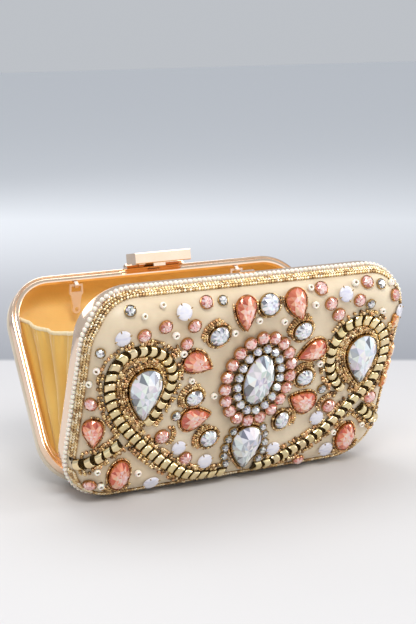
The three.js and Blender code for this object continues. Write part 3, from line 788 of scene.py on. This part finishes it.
def stone_line(kind, width, length, tip, count, grow=0.0):
    """The stone's girdle outline as count points (right, up) round its centre, moved out by grow."""
    t = np.arange(count) * 2 * math.pi / count
    if kind == "pear":
        along = length / 2 * np.cos(t)
        across = width / 2 * PEAR_FULLNESS * np.sin(t) * np.sin(t / 2)
        turn = math.radians(tip)
        line = np.column_stack([along * math.cos(turn) - across * math.sin(turn),
                                along * math.sin(turn) + across * math.cos(turn)])
    elif kind == "baguette":
        power = 0.35
        line = np.column_stack([width / 2 * np.sign(np.cos(t)) * np.abs(np.cos(t)) ** power,
                                length / 2 * np.sign(np.sin(t)) * np.abs(np.sin(t)) ** power])
    else:
        line = np.column_stack([width / 2 * np.cos(t), length / 2 * np.sin(t)])
    if grow:
        ahead, behind = np.roll(line, -1, axis=0), np.roll(line, 1, axis=0)
        way = ahead - behind
        way /= np.maximum(np.linalg.norm(way, axis=1, keepdims=True), 1e-9)
        line = line + grow * np.column_stack([way[:, 1], -way[:, 0]])
    return line


def even_line(line, pitch):
    """Evenly spaced points, about pitch apart, on a closed outline, each with its direction."""
    loop = np.vstack([line, line[:1]])
    travel = np.concatenate([[0], np.cumsum(np.linalg.norm(np.diff(loop, axis=0), axis=1))])
    count = max(int(round(travel[-1] / pitch)), 6)
    places = []
    for k in range(count):
        s = travel[-1] * k / count
        spot = [np.interp(s, travel, loop[:, j]) for j in (0, 1)]
        ahead = [np.interp((s + 0.2) % travel[-1], travel, loop[:, j]) for j in (0, 1)]
        places.append((spot[0], spot[1], math.atan2(ahead[1] - spot[1], ahead[0] - spot[0])))
    return places


def cut_stone(line, height, colour, source, table=0.56):
    """A brilliant-cut stone from its girdle outline: points, faces and one tint for each facet, which holds
    the stone's hue with painted reflection and shade.
    """
    count = len(line)
    half = count // 2
    base, girdle, crown, top = 0, count, 2 * count, 2 * count + half
    inner = top + half
    centre = inner + half
    turned = (line + np.roll(line, -1, axis=0)) / 2

    def level(points, scale, z):
        return np.column_stack([points * scale, np.full(len(points), z)])

    verts = np.vstack([
        level(line, 0.86, 0.0), level(line, 1.0, 0.38 * height), level(line[::2], 0.84, 0.74 * height),
        level(turned[::2], table, height), level(line[::2], table * 0.5, height),
        np.array([[line[:, 0].mean() * table, line[:, 1].mean() * table, height]]),
    ])
    faces, tints = [], []
    crown_reflections, table_reflections = CROWN_HUE_AND_PAINTED_REFLECTION[colour], TABLE_HUE_AND_PAINTED_REFLECTION[colour]

    def facet(corners, tint):
        faces.append(tuple(corners))
        tints.append(tuple(min(c * source.uniform(0.88, 1.06), 1.0) for c in tint))

    def painted_facet_shade(k):
        """Painted shade from where a facet faces: grey to the left, a painted highlight of white to the
        upper right, dark lower right.
        """
        way = math.atan2(line[k % count][1], line[k % count][0])
        lit = 0.5 + 0.5 * math.cos(way - math.radians(70))
        if source.random() < 0.2:
            return crown_reflections[5]
        if source.random() < 0.25:
            return crown_reflections[3]
        return crown_reflections[0] if lit > 0.6 else crown_reflections[1] if lit > 0.25 else crown_reflections[4]

    # The back and girdle facets are painted dark, the crown painted light or dark by where it faces, and
    # the table gets painted reflections picked at random.
    facet(reversed(range(base, base + count)), crown_reflections[3])
    for k in range(count):
        n = (k + 1) % count
        facet((base + k, base + n, girdle + n, girdle + k), crown_reflections[3])
    for k in range(half):
        n = (k + 1) % half
        g0, g1, g2 = girdle + 2 * k, girdle + 2 * k + 1, girdle + (2 * k + 2) % count
        facet((g0, g1, crown + k), painted_facet_shade(2 * k))
        facet((g1, g2, crown + n), painted_facet_shade(2 * k + 1))
        facet((g1, crown + n, top + k), source.choice(crown_reflections))
        facet((g1, top + k, crown + k), painted_facet_shade(2 * k))
        facet((crown + n, top + n, top + k), crown_reflections[2 if source.random() < 0.5 else 4])
        facet((top + k, top + n, inner + n), source.choice(table_reflections))
        facet((top + k, inner + n, inner + k), source.choice(table_reflections))
        facet((inner + k, inner + n, centre), source.choice(table_reflections))
    return (verts, faces), tints


def setting_wall(line, height):
    """The metal cup wall round a stone's girdle."""
    outer, middle, inner = line(0.42), line(0.36), line(0.1)
    levels = [(outer, 0.0), (outer, 0.3 * height), (middle, 0.44 * height), (inner, 0.47 * height),
              (inner, 0.36 * height)]
    rings = [np.column_stack([ring, np.full(len(ring), z)]) for ring, z in levels]
    rings.append(np.column_stack([inner * 0.9, np.zeros(len(inner))]))
    return np.vstack(rings), ring_faces(len(rings), len(outer), loop=True)


# The settings' metal darkened as painted shade round each stone, and tinted with the stone's colour as a
# painted glow from it.
SETTING_PAINTED_SHADE_AND_GLOW = {
    "clear": (0.48, 0.40, 0.28), "peach": (0.62, 0.30, 0.16), "pink": (0.62, 0.38, 0.26),
    "smoke": (0.50, 0.42, 0.30), "orange": (0.75, 0.46, 0.22),
}
# Seed bead tones picked at random; the near-white ones stand in as painted glints and the darkest ones as
# painted shade.
SEED_TONES_AND_GLINTS = [(1.0, 0.97, 0.92), (0.74, 0.62, 0.44), (0.50, 0.37, 0.27), (0.22, 0.15, 0.11),
              (0.96, 0.88, 0.70),
              (0.88, 0.62, 0.50), (0.66, 0.53, 0.38), (0.38, 0.28, 0.20), (0.98, 0.90, 0.84)]
SEED = bead(0.98, 1.45, 0.34, 8)
FINE_SEED = bead(0.66, 1.0, 0.24, 7)
SMALL_BALL = ball(1.0, 8, 6)


def squeezed(shape, sizes):
    """A shape scaled by its own amount along each axis."""
    points, faces = shape
    return points * np.array(sizes), faces


CLAW = squeezed(SMALL_BALL, (1.0, 0.42, 0.36))
settings = Bunch()
seeds = Bunch()


def tilt_seed(shape):
    """A bead with its hole along the thread, which runs along the bead's right axis."""
    points, faces = shape
    return points[:, [2, 1, 0]] * np.array([1, 1, -1]), faces


SEED_FLAT, FINE_FLAT = tilt_seed(SEED), tilt_seed(FINE_SEED)


def on_stone(spot, a, b):
    """The cover's place beside a stone's centre, a along its right and b along its up."""
    point, right, up, normal = spot
    flat = point + right * a + up * b
    return flat[0], flat[2]


def bead_ring(spot, line, pitch, shape, lift, source):
    """Beads along an outline round a stone, leaving out those over the rounded edge."""
    for a, b, way in even_line(line, pitch):
        x, z = on_stone(spot, a, b)
        if inset_at(x, z) < 6.0:
            continue
        seeds.add(shape, front_spot(x, z, lift), source.uniform(0.9, 1.08),
                  way + source.uniform(-0.15, 0.15), source.choice(SEED_TONES_AND_GLINTS))


def add_claws(spot, line, height, tint, places):
    """Claws over a stone's girdle, at shares of the way round it."""
    count = len(line)
    for share in places:
        a, b = line[int(share * count) % count]
        way = math.atan2(b, a)
        point, right, up, normal = spot
        centre = point + right * a * 0.96 + up * b * 0.96 + normal * 0.5 * height
        settings.add(CLAW, (centre, right, up, normal), 0.95, way, tint)


def set_stone(bunch, kind, colour, x, z, width, length, height, tip, source, sides=20, ring=None):
    """One stone in its claw setting, with an outline of seed beads where ring is set."""
    spot = front_spot(x, z, STONE_LIFT)
    line = stone_line(kind, width, length, tip, sides)
    shape, tints = cut_stone(line, height, colour, source)
    bunch.add(shape, spot, face_tints=tints)
    wall = setting_wall(lambda grow: stone_line(kind, width, length, tip, 40, grow), height)
    settings.add(wall, spot, tint=SETTING_PAINTED_SHADE_AND_GLOW[colour])
    places = (0.0, 0.22, 0.38, 0.62, 0.78) if kind == "pear" else (0.125, 0.375, 0.625, 0.875)
    add_claws(spot, line, height, SETTING_PAINTED_SHADE_AND_GLOW[colour], places)
    if ring:
        shape, pitch, reach = ring
        bead_ring(spot, stone_line(kind, width, length, tip, 60, reach), pitch, shape, 0.72, source)


BEADED = {"clear": (SEED_FLAT, 1.35, 1.45), "peach": (FINE_FLAT, 1.1, 1.2), "pink": None}
for order, (name, kind, colour, x, z, width, length, height, tip) in enumerate(STONES):
    source = random.Random(100 + order)
    bunch = Bunch()
    set_stone(bunch, kind, colour, x, z, width, length, height, tip, source, 20, BEADED[colour])
    gem = bunch.piece(name.replace("_stone", "") + "_cut_stone", CRYSTAL, FRONT, None)
    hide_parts(name)


def stone_ring(name, node, colour, inner, outer, height, count, size, turn):
    """An oval ring of separate round stones in one shared setting."""
    source = random.Random(len(name))
    bunch = Bunch()
    mid = [(inner[k] + outer[k]) / 2 for k in (0, 1)]
    turns = np.linspace(0, 2 * math.pi, 180, False)
    oval = np.array([(mid[0] * math.cos(t), mid[1] * math.sin(t)) for t in turns])
    places = even_line(oval, oval_length(oval) / count)
    for k, (a, b, way) in enumerate(places):
        x, z = RING_CENTRE[0] + a, RING_CENTRE[1] + b
        spot = front_spot(x, z, STONE_LIFT + 0.25 * height)
        line = stone_line("round", size, size, 0, 12)
        shape, tints = cut_stone(line, height * 0.75, colour, source)
        bunch.add(shape, spot, turn=way + turn, face_tints=tints)
        wall = setting_wall(lambda grow: stone_line("round", size, size, 0, 20, grow), height * 0.75)
        settings.add(wall, spot, tint=SETTING_PAINTED_SHADE_AND_GLOW[colour])
        add_claws(spot, line, height * 0.75, SETTING_PAINTED_SHADE_AND_GLOW[colour], (0.125, 0.375, 0.625, 0.875))
    ring = bunch.piece(name, CRYSTAL, FRONT, None)
    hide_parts(node)


def oval_length(line):
    """The length of a closed outline."""
    return float(np.linalg.norm(np.diff(np.vstack([line, line[:1]]), axis=0), axis=1).sum())


stone_ring("crystal_ring_stones", "crystal_ring", "clear", (10.6, 17.2), (16.2, 22.6), 5, 17, 5.2, 0.2)
stone_ring("pink_ring_stones", "pink_ring", "pink", (16.6, 23), (24.4, 30.2), 4.6, 19, 7.1, 0.0)


# Small stones, opals and pearls sewn between the big ones, each at (x, z) in mm on the front face
SMALL_PINK = [(-71, 105.5), (-59, 109.5), (-41.5, 108), (-44.5, 97.5), (-34.5, 119), (38, 119.5), (44, 112),
              (63, 112), (50.5, 104.5), (85.5, 45.5), (-94.5, 65), (69, 120), (88.5, 111), (-88.5, 13),
              (45, 8), (-33, 22.5)]
OPALS = [(-83.5, 105.5), (-48.5, 116), (53.5, 116), (-38.5, 30.5), (-20, 18.5), (50.5, 36.5), (24.5, 19.5),
           (62, 13), (-52, 9.5), (94, 100)]
SMALL_SMOKE = [(-79, 118.5), (-93.5, 96.5), (-24.5, 119), (71, 109), (78, 118.5), (-43.5, 52), (50, 56)]
FLANKING = [(36, 9.5), (31, 11.8), (25.5, 12.9), (20, 12.6), (14.8, 10.8)]
PEARL_RING = [(0.42, 0.15), (0.75, -0.62), (0.93, -0.3), (1.0, 0.0), (0.9, 0.42), (0.68, 0.68), (0.46, 0.6),
              (0.36, 0.3), (0.42, 0.15)]
LONE_PEARLS = [(-72, 116), (-60.5, 119.5), (-96, 77), (33, 112.5), (14.5, 104.5), (-2, 107), (31, 120),
               (-16, 101), (60.5, 120), (64.5, 24.5), (-87, 23), (-62, 18), (86, 117), (-52.5, 104),
               (80, 104), (-94, 86), (-38, 74), (44, 74), (-22, 62), (-83, 13), (84, 27), (-46, 92)]
BAGUETTES = [(93.6, 55), (94.2, 64.5), (94.4, 74), (91, 95.5)]
sprinkle = random.Random(41)
pink_gems, smoke_gems, orange_gems, opals, loose_pearls = Bunch(), Bunch(), Bunch(), Bunch(), Bunch()
for x, z in SMALL_PINK:
    size = sprinkle.uniform(6.6, 7.8)
    set_stone(pink_gems, "round", "pink", x, z, size, size, 2.8, 0, sprinkle, 16)
for x, z in SMALL_SMOKE:
    size = sprinkle.uniform(5.0, 5.8)
    set_stone(smoke_gems, "round", "smoke", x, z, size, size, 2.4, 0, sprinkle, 12)
for z, x in FLANKING:
    for sign in (-1, 1):
        set_stone(smoke_gems, "round", "smoke", 4.7 + sign * x, z, 4.6, 4.6, 2.6, 0, sprinkle, 12)
for x, z in BAGUETTES:
    set_stone(orange_gems, "baguette", "orange", x, z, 5, 8.6, 2.6, 0, sprinkle, 16)


def opal():
    """A round opal stone with a low dome, a soft shoulder and a flat back."""
    profile = [(0, 0.0), (3.6, 0.0), (4.4, 0.5), (4.55, 1.0), (4.2, 1.55), (3.2, 1.95), (1.7, 2.15),
               (0, 2.2)]
    return lathe(profile, 28)


OPAL = opal()
PEARL_BALL = ball(1.0, 14, 10)
PEARL_EYE = lathe(PEARL_RING, 18)
for x, z in OPALS:
    shade = sprinkle.uniform(0.88, 1.0)
    size = sprinkle.uniform(0.95, 1.05)
    spot = front_spot(x, z, STONE_LIFT)
    opals.add(OPAL, spot, size, sprinkle.uniform(0, 1), (shade, shade * 0.99, shade))
    claws = stone_line("round", 9.1 * size, 9.1 * size, 0, 16)
    add_claws(spot, claws, 3.2, SETTING_PAINTED_SHADE_AND_GLOW["clear"], (0.12, 0.37, 0.62, 0.87))
for x, z in LONE_PEARLS:
    radius = sprinkle.uniform(1.8, 2.2)
    loose_pearls.add(PEARL_EYE, front_spot(x, z, STONE_LIFT + radius * 0.62), radius, 0, (1, 0.98, 0.95))
    # A small darkened ball in each pearl's eye: painted shade for its grey centre.
    settings.add(SMALL_BALL, front_spot(x, z, STONE_LIFT + 0.9), 0.8, 0, (0.42, 0.36, 0.28))

for bunch, name, material, slot_name, angle in (
        (pink_gems, "small_pink_stones", CRYSTAL, "pink_crystal", None),
        (smoke_gems, "small_clear_stones", CRYSTAL, "clear_crystal", None),
        (orange_gems, "baguette_stones", CRYSTAL, "peach_crystal", None),
        (opals, "opal_stones", MILKY, "pearl", 50),
        (loose_pearls, "loose_pearls", PEARL, "pearl", 80)):
    bunch.piece(name, material, FRONT, angle)


# ---------------------------------------------------------------- chains, pearls, braid

CHAIN_WIDTH, CHAIN_TOP, LINK_PITCH = 8.0, 2.7, 5.9
CHAINS = {
    "left_box_chain": [
        (-4, 8.4), (-17, 8.4), (-30, 11.5), (-44.5, 20.6), (-56.5, 30.6), (-67, 40.8), (-76, 51),
        (-82.7, 61.5), (-86.3, 72.5), (-86.8, 82.8), (-84.6, 90.1), (-78.4, 95.2), (-68.8, 96.3),
        (-59, 92.5),
        (-52.4, 85), (-50, 76.6), (-52.2, 66.5), (-57, 56.3), (-61.5, 49.5),
    ],
    "right_box_chain": [
        (13, 9), (22, 10), (31, 13.5), (41, 18), (50, 23), (58, 28.8), (65, 35.5),
        (71.5, 43), (78, 50), (84, 58.5), (87.3, 68.5), (87.3, 80), (83.3, 90), (75.5, 96.8),
        (66.5, 99), (58.3, 96), (52.7, 88), (51, 78), (53.3, 67.5), (59.5, 58.7), (64, 54.3),
    ],
    "left_side_chain": [
        (-75.5, 39.8), (-83, 34.2), (-89.5, 30.3), (-93.5, 27.3), (-98.4, 25.2),
    ],
    "right_side_chain": [
        (79, 40), (84.5, 35.5), (89.5, 31.3), (93.5, 28), (98.4, 26),
    ],
}


def link_shape(length, width, height):
    """A crowned chain link: its leading end bulges and its trailing end is hollowed to match."""
    bow = 1.3
    steps = 9
    plan = []
    for k in range(steps):
        t = -1 + 2 * k / (steps - 1)
        plan.append((length / 2 + bow * (1 - t * t), t * width / 2))
    for k in range(steps):
        t = 1 - 2 * k / (steps - 1)
        plan.append((-length / 2 + bow * (1 - t * t), t * width / 2))
    plan = np.array(plan)
    rings = []
    for shrink, z, crown in ((0.25, 0.0, 0), (0.0, 0.35 * height, 0), (0.0, 0.72 * height, 0),
                             (0.3, 0.93 * height, 0), (0.85, height, 0.12), (1.5, height, 0.3)):
        ring = plan.copy()
        ring[:, 1] *= 1 - 2 * shrink / width
        ring[:, 0] = (ring[:, 0] - 0.45) * (1 - 2 * shrink / (length + bow)) + 0.45
        droop = 0.55 * height * (np.abs(ring[:, 1]) / (width / 2)) ** 2.4 * (z > 0.5 * height)
        level = np.full(len(ring), z) - droop
        rings.append(np.column_stack([ring, level + crown * 0.3]))
    count = len(plan)
    faces = ring_faces(len(rings), count)
    faces += [tuple(range(count)), tuple((len(rings) - 1) * count + k for k in range(count))]
    return np.vstack(rings), faces


# Near-black balls under the chain links: painted shade in the gaps between them.
SHADE_CORE_BALL = squeezed(SMALL_BALL, (0.9, 1.3, 0.5))
LINK = link_shape(4.0, CHAIN_WIDTH - 1.4, CHAIN_TOP - 0.3)
ROUTES = {name: Route(points) for name, points in CHAINS.items()}


def clear_of_chains(x, z, margin=4.3):
    """Whether a bead at (x, z) stays out of every chain."""
    return all(np.hypot(route.points[:, 0] - x, route.points[:, 1] - z).min() > margin
               for route in ROUTES.values())


# Loose rings of seed beads between the side pears and the chain loops round them
INFILL_REACHES, INFILL_PITCH = (3.0, 4.6, 6.2), 1.6
SIDE_PEARS = [stone for stone in STONES if stone[0] in ("left_pear_stone", "right_pear_stone")]
for _, kind, _, cx, cz, width, length, _, tip in SIDE_PEARS:
    source = random.Random(int(cx) + 200)
    for reach in INFILL_REACHES:
        for a, b, way in even_line(stone_line(kind, width, length, tip, 60, reach), INFILL_PITCH):
            x, z = cx + a, cz + b
            if clear_of_chains(x, z, 4.6) and source.random() < 0.86:
                seeds.add(SEED_FLAT, front_spot(x, z, 0.8 + source.uniform(-0.1, 0.3)),
                          source.uniform(0.85, 1.3), way + source.uniform(-0.8, 0.8),
                          source.choice(SEED_TONES_AND_GLINTS))
for name, route in ROUTES.items():
    source = random.Random(len(CHAINS[name]))
    links = Bunch()
    for s in route.steps(LINK_PITCH):
        x, z, way = route.at(s)
        shade = source.uniform(0.86, 1.0)
        links.add(LINK, front_spot(x, z, 0.5, way), source.uniform(0.97, 1.02), source.uniform(-0.04, 0.04),
                  (shade, shade * source.uniform(0.95, 1.0), shade * source.uniform(0.86, 0.96)))
    # Rows of near-black balls under the links, as painted shade filling the gaps.
    for s in route.steps(1.1):
        for side in (-2.2, 0, 2.2):
            x, z, way = route.at(s, side)
            links.add(SHADE_CORE_BALL, front_spot(x, z, 0.75, way), 1.0, 0, (0.05, 0.035, 0.02))
    piece = links.piece(name + "_links", CHAIN_GOLD, FRONT, 40)
    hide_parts(name)
    for side in (-1, 1):
        for row in (0, 1):
            for s in route.steps(1.5):
                reach = CHAIN_WIDTH / 2 + 0.4 + 1.5 * row + source.uniform(-0.25, 0.25)
                x, z, way = route.at(s, side * reach)
                if inset_at(x, z) < 4.2 or not clear_of_chains(x, z) or source.random() < 0.3 * row:
                    continue
                seeds.add(SEED_FLAT, front_spot(x, z, 0.8 + source.uniform(-0.1, 0.35), way),
                          source.uniform(0.95, 1.3), source.uniform(-0.8, 0.8), source.choice(SEED_TONES_AND_GLINTS))

# Crescents of seed beads beside the round stones: centre, radius, and the span of angles they cover
CRESCENTS = [(-25.5, 100.3, 8.6, 80, 200), (28.4, 97, 8.4, 60, 200), (-34.3, 62.5, 7.9, 70, 230),
             (36, 65.8, 8, 50, 170), (-20.5, 34.1, 8, 90, 230), (26.2, 38.9, 7.6, 320, 430),
             (-50.4, 39.7, 6.6, -60, 60), (57.1, 43.6, 6.6, 60, 200), (-44.5, 97.5, 5.6, 180, 320),
             (-66.5, 51.8, 3.2, 190, 350), (72.5, 55.5, 3.2, 190, 350), (-73.4, 18.6, 10.6, 200, 320),
             (73.8, 20.1, 10.6, 210, 340)]
for cx, cz, radius, first, last in CRESCENTS:
    for row in (0, 1):
        arc = math.radians(last - first) * (1 - 0.25 * row)
        count = int(arc * (radius + 1.45 * row) / 1.45)
        for k in range(count):
            t = math.radians((first + last) / 2) + arc * ((k + 0.5) / count - 0.5)
            reach = radius + 1.45 * row
            x, z = cx + reach * math.cos(t), cz + reach * math.sin(t)
            if inset_at(x, z) > 2:
                seeds.add(SEED_FLAT, front_spot(x, z, 0.8), rng.uniform(0.9, 1.1), t + math.pi / 2,
                          rng.choice(SEED_TONES_AND_GLINTS[1:]))


class RimLine(Route):
    """A closed rim line, with straight interpolation between dense points."""

    def __init__(self, inset):
        line = outline(inset, 48, 2.0)
        self.measure(np.vstack([line, line[:1]]))


def top_share(x, z):
    """How far the trim has moved down to the rim: none at the sides and all along the top edge."""
    share = np.clip((z - (HEIGHT - 16)) / 15, 0, 1)
    return share * share * (3 - 2 * share)


PEARL_RADIUS, PEARL_PITCH, PEARL_ANGLE, PEARL_SHIFT = 1.42, 2.9, 12, 5.5
PEARL_INSET, PEARL_DEPTH = round_point(FRONT, -1.6, PEARL_ANGLE)
pearls = Bunch()
pearl_line = RimLine(PEARL_INSET)
pearl_count = int(pearl_line.length / PEARL_PITCH)
for k in range(pearl_count):
    x, z, way = pearl_line.at(pearl_line.length * (k + 0.5) / pearl_count)
    along = np.array([way[0], 0.0, way[1]])
    out = np.array([way[1], 0.0, -way[0]])
    shade = rng.uniform(0.92, 1.0)
    depth = PEARL_DEPTH - PEARL_SHIFT * top_share(x, z)
    pearls.add(PEARL_BALL, (np.array([x, -depth, z]), along, np.cross(out, along), out),
               PEARL_RADIUS, rng.uniform(0, 3), (shade, shade * 0.98, shade * 0.94))
pearl_row = pearls.piece("edge_pearl_row", PEARL, FRONT, 80)
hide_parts("pearl_trim")

# Braid bead tones picked at random; the near-white ones are painted glints.
BRAID_TONES_AND_GLINTS = [(1.0, 0.92, 0.74), (0.80, 0.66, 0.44), (0.52, 0.38, 0.24), (1.0, 0.98, 0.92),
               (0.92, 0.80, 0.56),
               (1.0, 0.95, 0.84)]
BRAID_SHAPE = squeezed(SMALL_BALL, (1.3, 0.85, 0.95))
braid = Bunch()
BRAID_SHIFT = 16
for row, (degrees, slant) in enumerate(((20.5, 0.7), (27.2, -0.7), (34, 0.7))):
    line = RimLine(round_point(FRONT, -0.9, degrees)[0])
    count = int(line.length / 1.75)
    for k in range(count):
        x, z, way = line.at(line.length * (k + 0.5 * (row % 2)) / count)
        along = np.array([way[0], 0.0, way[1]])
        out = np.array([way[1], 0.0, -way[0]])
        angle = degrees - BRAID_SHIFT * top_share(x, z)
        inset, depth = round_point(FRONT, -0.9, angle)
        x, z = np.array([x, z]) + (inset_at(x, z) - inset) * out[[0, 2]]
        slope = math.radians(angle)
        if not clear_of_chains(x, z, 4.2):
            continue
        normal = out * math.cos(slope) + np.array([0, -1.0, 0]) * math.sin(slope)
        braid.add(BRAID_SHAPE, (np.array([x, -depth, z]), along, np.cross(normal, along), normal), 1.0,
                  slant, rng.choice(BRAID_TONES_AND_GLINTS))
braid_row = braid.piece("twisted_bead_braid", BRAID_GOLD, FRONT, 60)
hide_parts("bead_braid")
settings.piece("stone_settings", SEED_GOLD, FRONT, 40)
seeds.piece("seed_beads", SEED_GOLD, FRONT, 50)


# ---------------------------------------------------------------- CAD parts that stay

def dress(node, material, edge=0.25):
    """A better finish and a small soft edge on a CAD node that stays."""
    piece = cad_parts[node]
    piece.data.materials.clear()
    piece.data.materials.append(material)
    if edge:
        soft = piece.modifiers.new("soft_edge", "BEVEL")
        soft.width = edge * MM
        soft.segments = 2
        soft.limit_method = "ANGLE"
        soft.angle_limit = math.radians(35)


for node in ("clasp_base", "clasp_bar", "clasp_catch"):
    dress(node, CLASP_GOLD, 0.22)
for node in ("left_strap_tab", "right_strap_tab", "left_strap_lug", "right_strap_lug"):
    dress(node, TAB_GOLD, 0.15)
for label in ("back", "front"):
    dress(f"{label}_shell", CARD, 0)
    for place in ("left", "right"):
        dress(f"{label}_hinge_{place}", ROSE_GOLD, 0.1)
for node in ("clasp_pin", "clasp_spring", "hinge_pin_left", "hinge_pin_right"):
    dress(node, STEEL, 0)


# ---------------------------------------------------------------- floor, light, camera

# The pale floor turns grey-blue beyond this distance behind the bag
BACKDROP_WAY = (0.4879, 0.8729, 0.0)
BACKDROP_START = 0.271


def floor():
    """A pale floor that turns to a backdrop tone behind the bag."""
    material, tree, shader = new_material("studio_floor")
    place = tree.nodes.new("ShaderNodeTexCoord")
    distance = tree.nodes.new("ShaderNodeVectorMath")
    distance.operation = "DOT_PRODUCT"
    distance.inputs[1].default_value = BACKDROP_WAY
    tree.links.new(place.outputs["Object"], distance.inputs[0])
    tones = [(0.0, (0.64, 0.63, 0.63)), (BACKDROP_START - 0.004, (0.60, 0.59, 0.60)),
             (BACKDROP_START + 0.004, (0.29, 0.30, 0.33)), (0.55, (0.46, 0.47, 0.50)),
             (1.0, (0.92, 0.94, 0.97))]
    link(tree, ramp(tree, distance, "Value", tones), "Color", shader, "Base Color")
    shader.inputs["Roughness"].default_value = 0.7
    mesh = bpy.data.meshes.new("floor")
    reach = 4.0
    mesh.from_pydata([(-reach, -reach, 0), (reach, -reach, 0), (reach, reach, 0), (-reach, reach, 0)], [],
                     [(0, 1, 2, 3)])
    mesh.materials.append(material)
    piece = bpy.data.objects.new("floor", mesh)
    bpy.context.scene.collection.objects.link(piece)


def area_light(name, place, aim, size, power, colour=(1, 1, 1)):
    """A rectangular light aimed at a point."""
    data = bpy.data.lights.new(name, "AREA")
    data.shape = "RECTANGLE"
    data.size, data.size_y = size
    data.energy = power
    data.color = colour
    lamp = bpy.data.objects.new(name, data)
    lamp.location = place
    lamp.rotation_euler = (Vector(aim) - Vector(place)).to_track_quat("-Z", "Y").to_euler()
    bpy.context.scene.collection.objects.link(lamp)


def studio():
    """The five lights and the world."""
    aim = (0, 0, 0.06)
    area_light("key_light", (-0.30, -0.75, 0.95), aim, (0.5, 0.4), 7.3, (1.0, 0.98, 0.95))
    area_light("top_light", (0.1, 0.25, 1.0), aim, (0.9, 0.6), 4.3)
    area_light("right_light", (0.95, -0.45, 0.40), aim, (0.3, 0.6), 3.6, (1.0, 0.97, 0.94))
    area_light("front_fill", (0.62, -0.92, 0.50), aim, (0.55, 0.95), 1.0)
    area_light("back_light", (-0.2, 1.0, 0.55), aim, (0.9, 0.35), 2.5)
    world = bpy.data.worlds.new("studio")
    world.use_nodes = True
    background = world.node_tree.nodes["Background"]
    background.inputs["Color"].default_value = (0.90, 0.94, 1.0, 1.0)
    background.inputs["Strength"].default_value = 0.57
    bpy.context.scene.world = world
    bpy.context.scene.view_settings.view_transform = "Standard"


# The viewing point of the photograph, in the row frame
CAMERA_PLACE = Vector((-0.438, -0.790, 0.2787))
CAMERA_FORWARD = Vector((0.47786, 0.85501, -0.20150))
CAMERA_RIGHT = Vector((0.8729, -0.4879, 0.0))
CAMERA_LENS = 92.15


def camera():
    """The camera at the viewing point."""
    data = bpy.data.cameras.new("camera")
    data.lens = CAMERA_LENS
    data.sensor_width = 36
    data.clip_start, data.clip_end = 0.01, 20
    rig = bpy.data.objects.new("camera", data)
    forward = CAMERA_FORWARD.normalized()
    right = (CAMERA_RIGHT - forward * CAMERA_RIGHT.dot(forward)).normalized()
    up = right.cross(forward)
    turn = Matrix((right, up, -forward)).transposed()
    rig.matrix_world = Matrix.Translation(CAMERA_PLACE) @ turn.to_4x4()
    bpy.context.scene.collection.objects.link(rig)
    bpy.context.scene.camera = rig


floor()
studio()
camera()


def corners(box):
    """A box as two plain lists."""
    return [list(box[0]), list(box[1])]
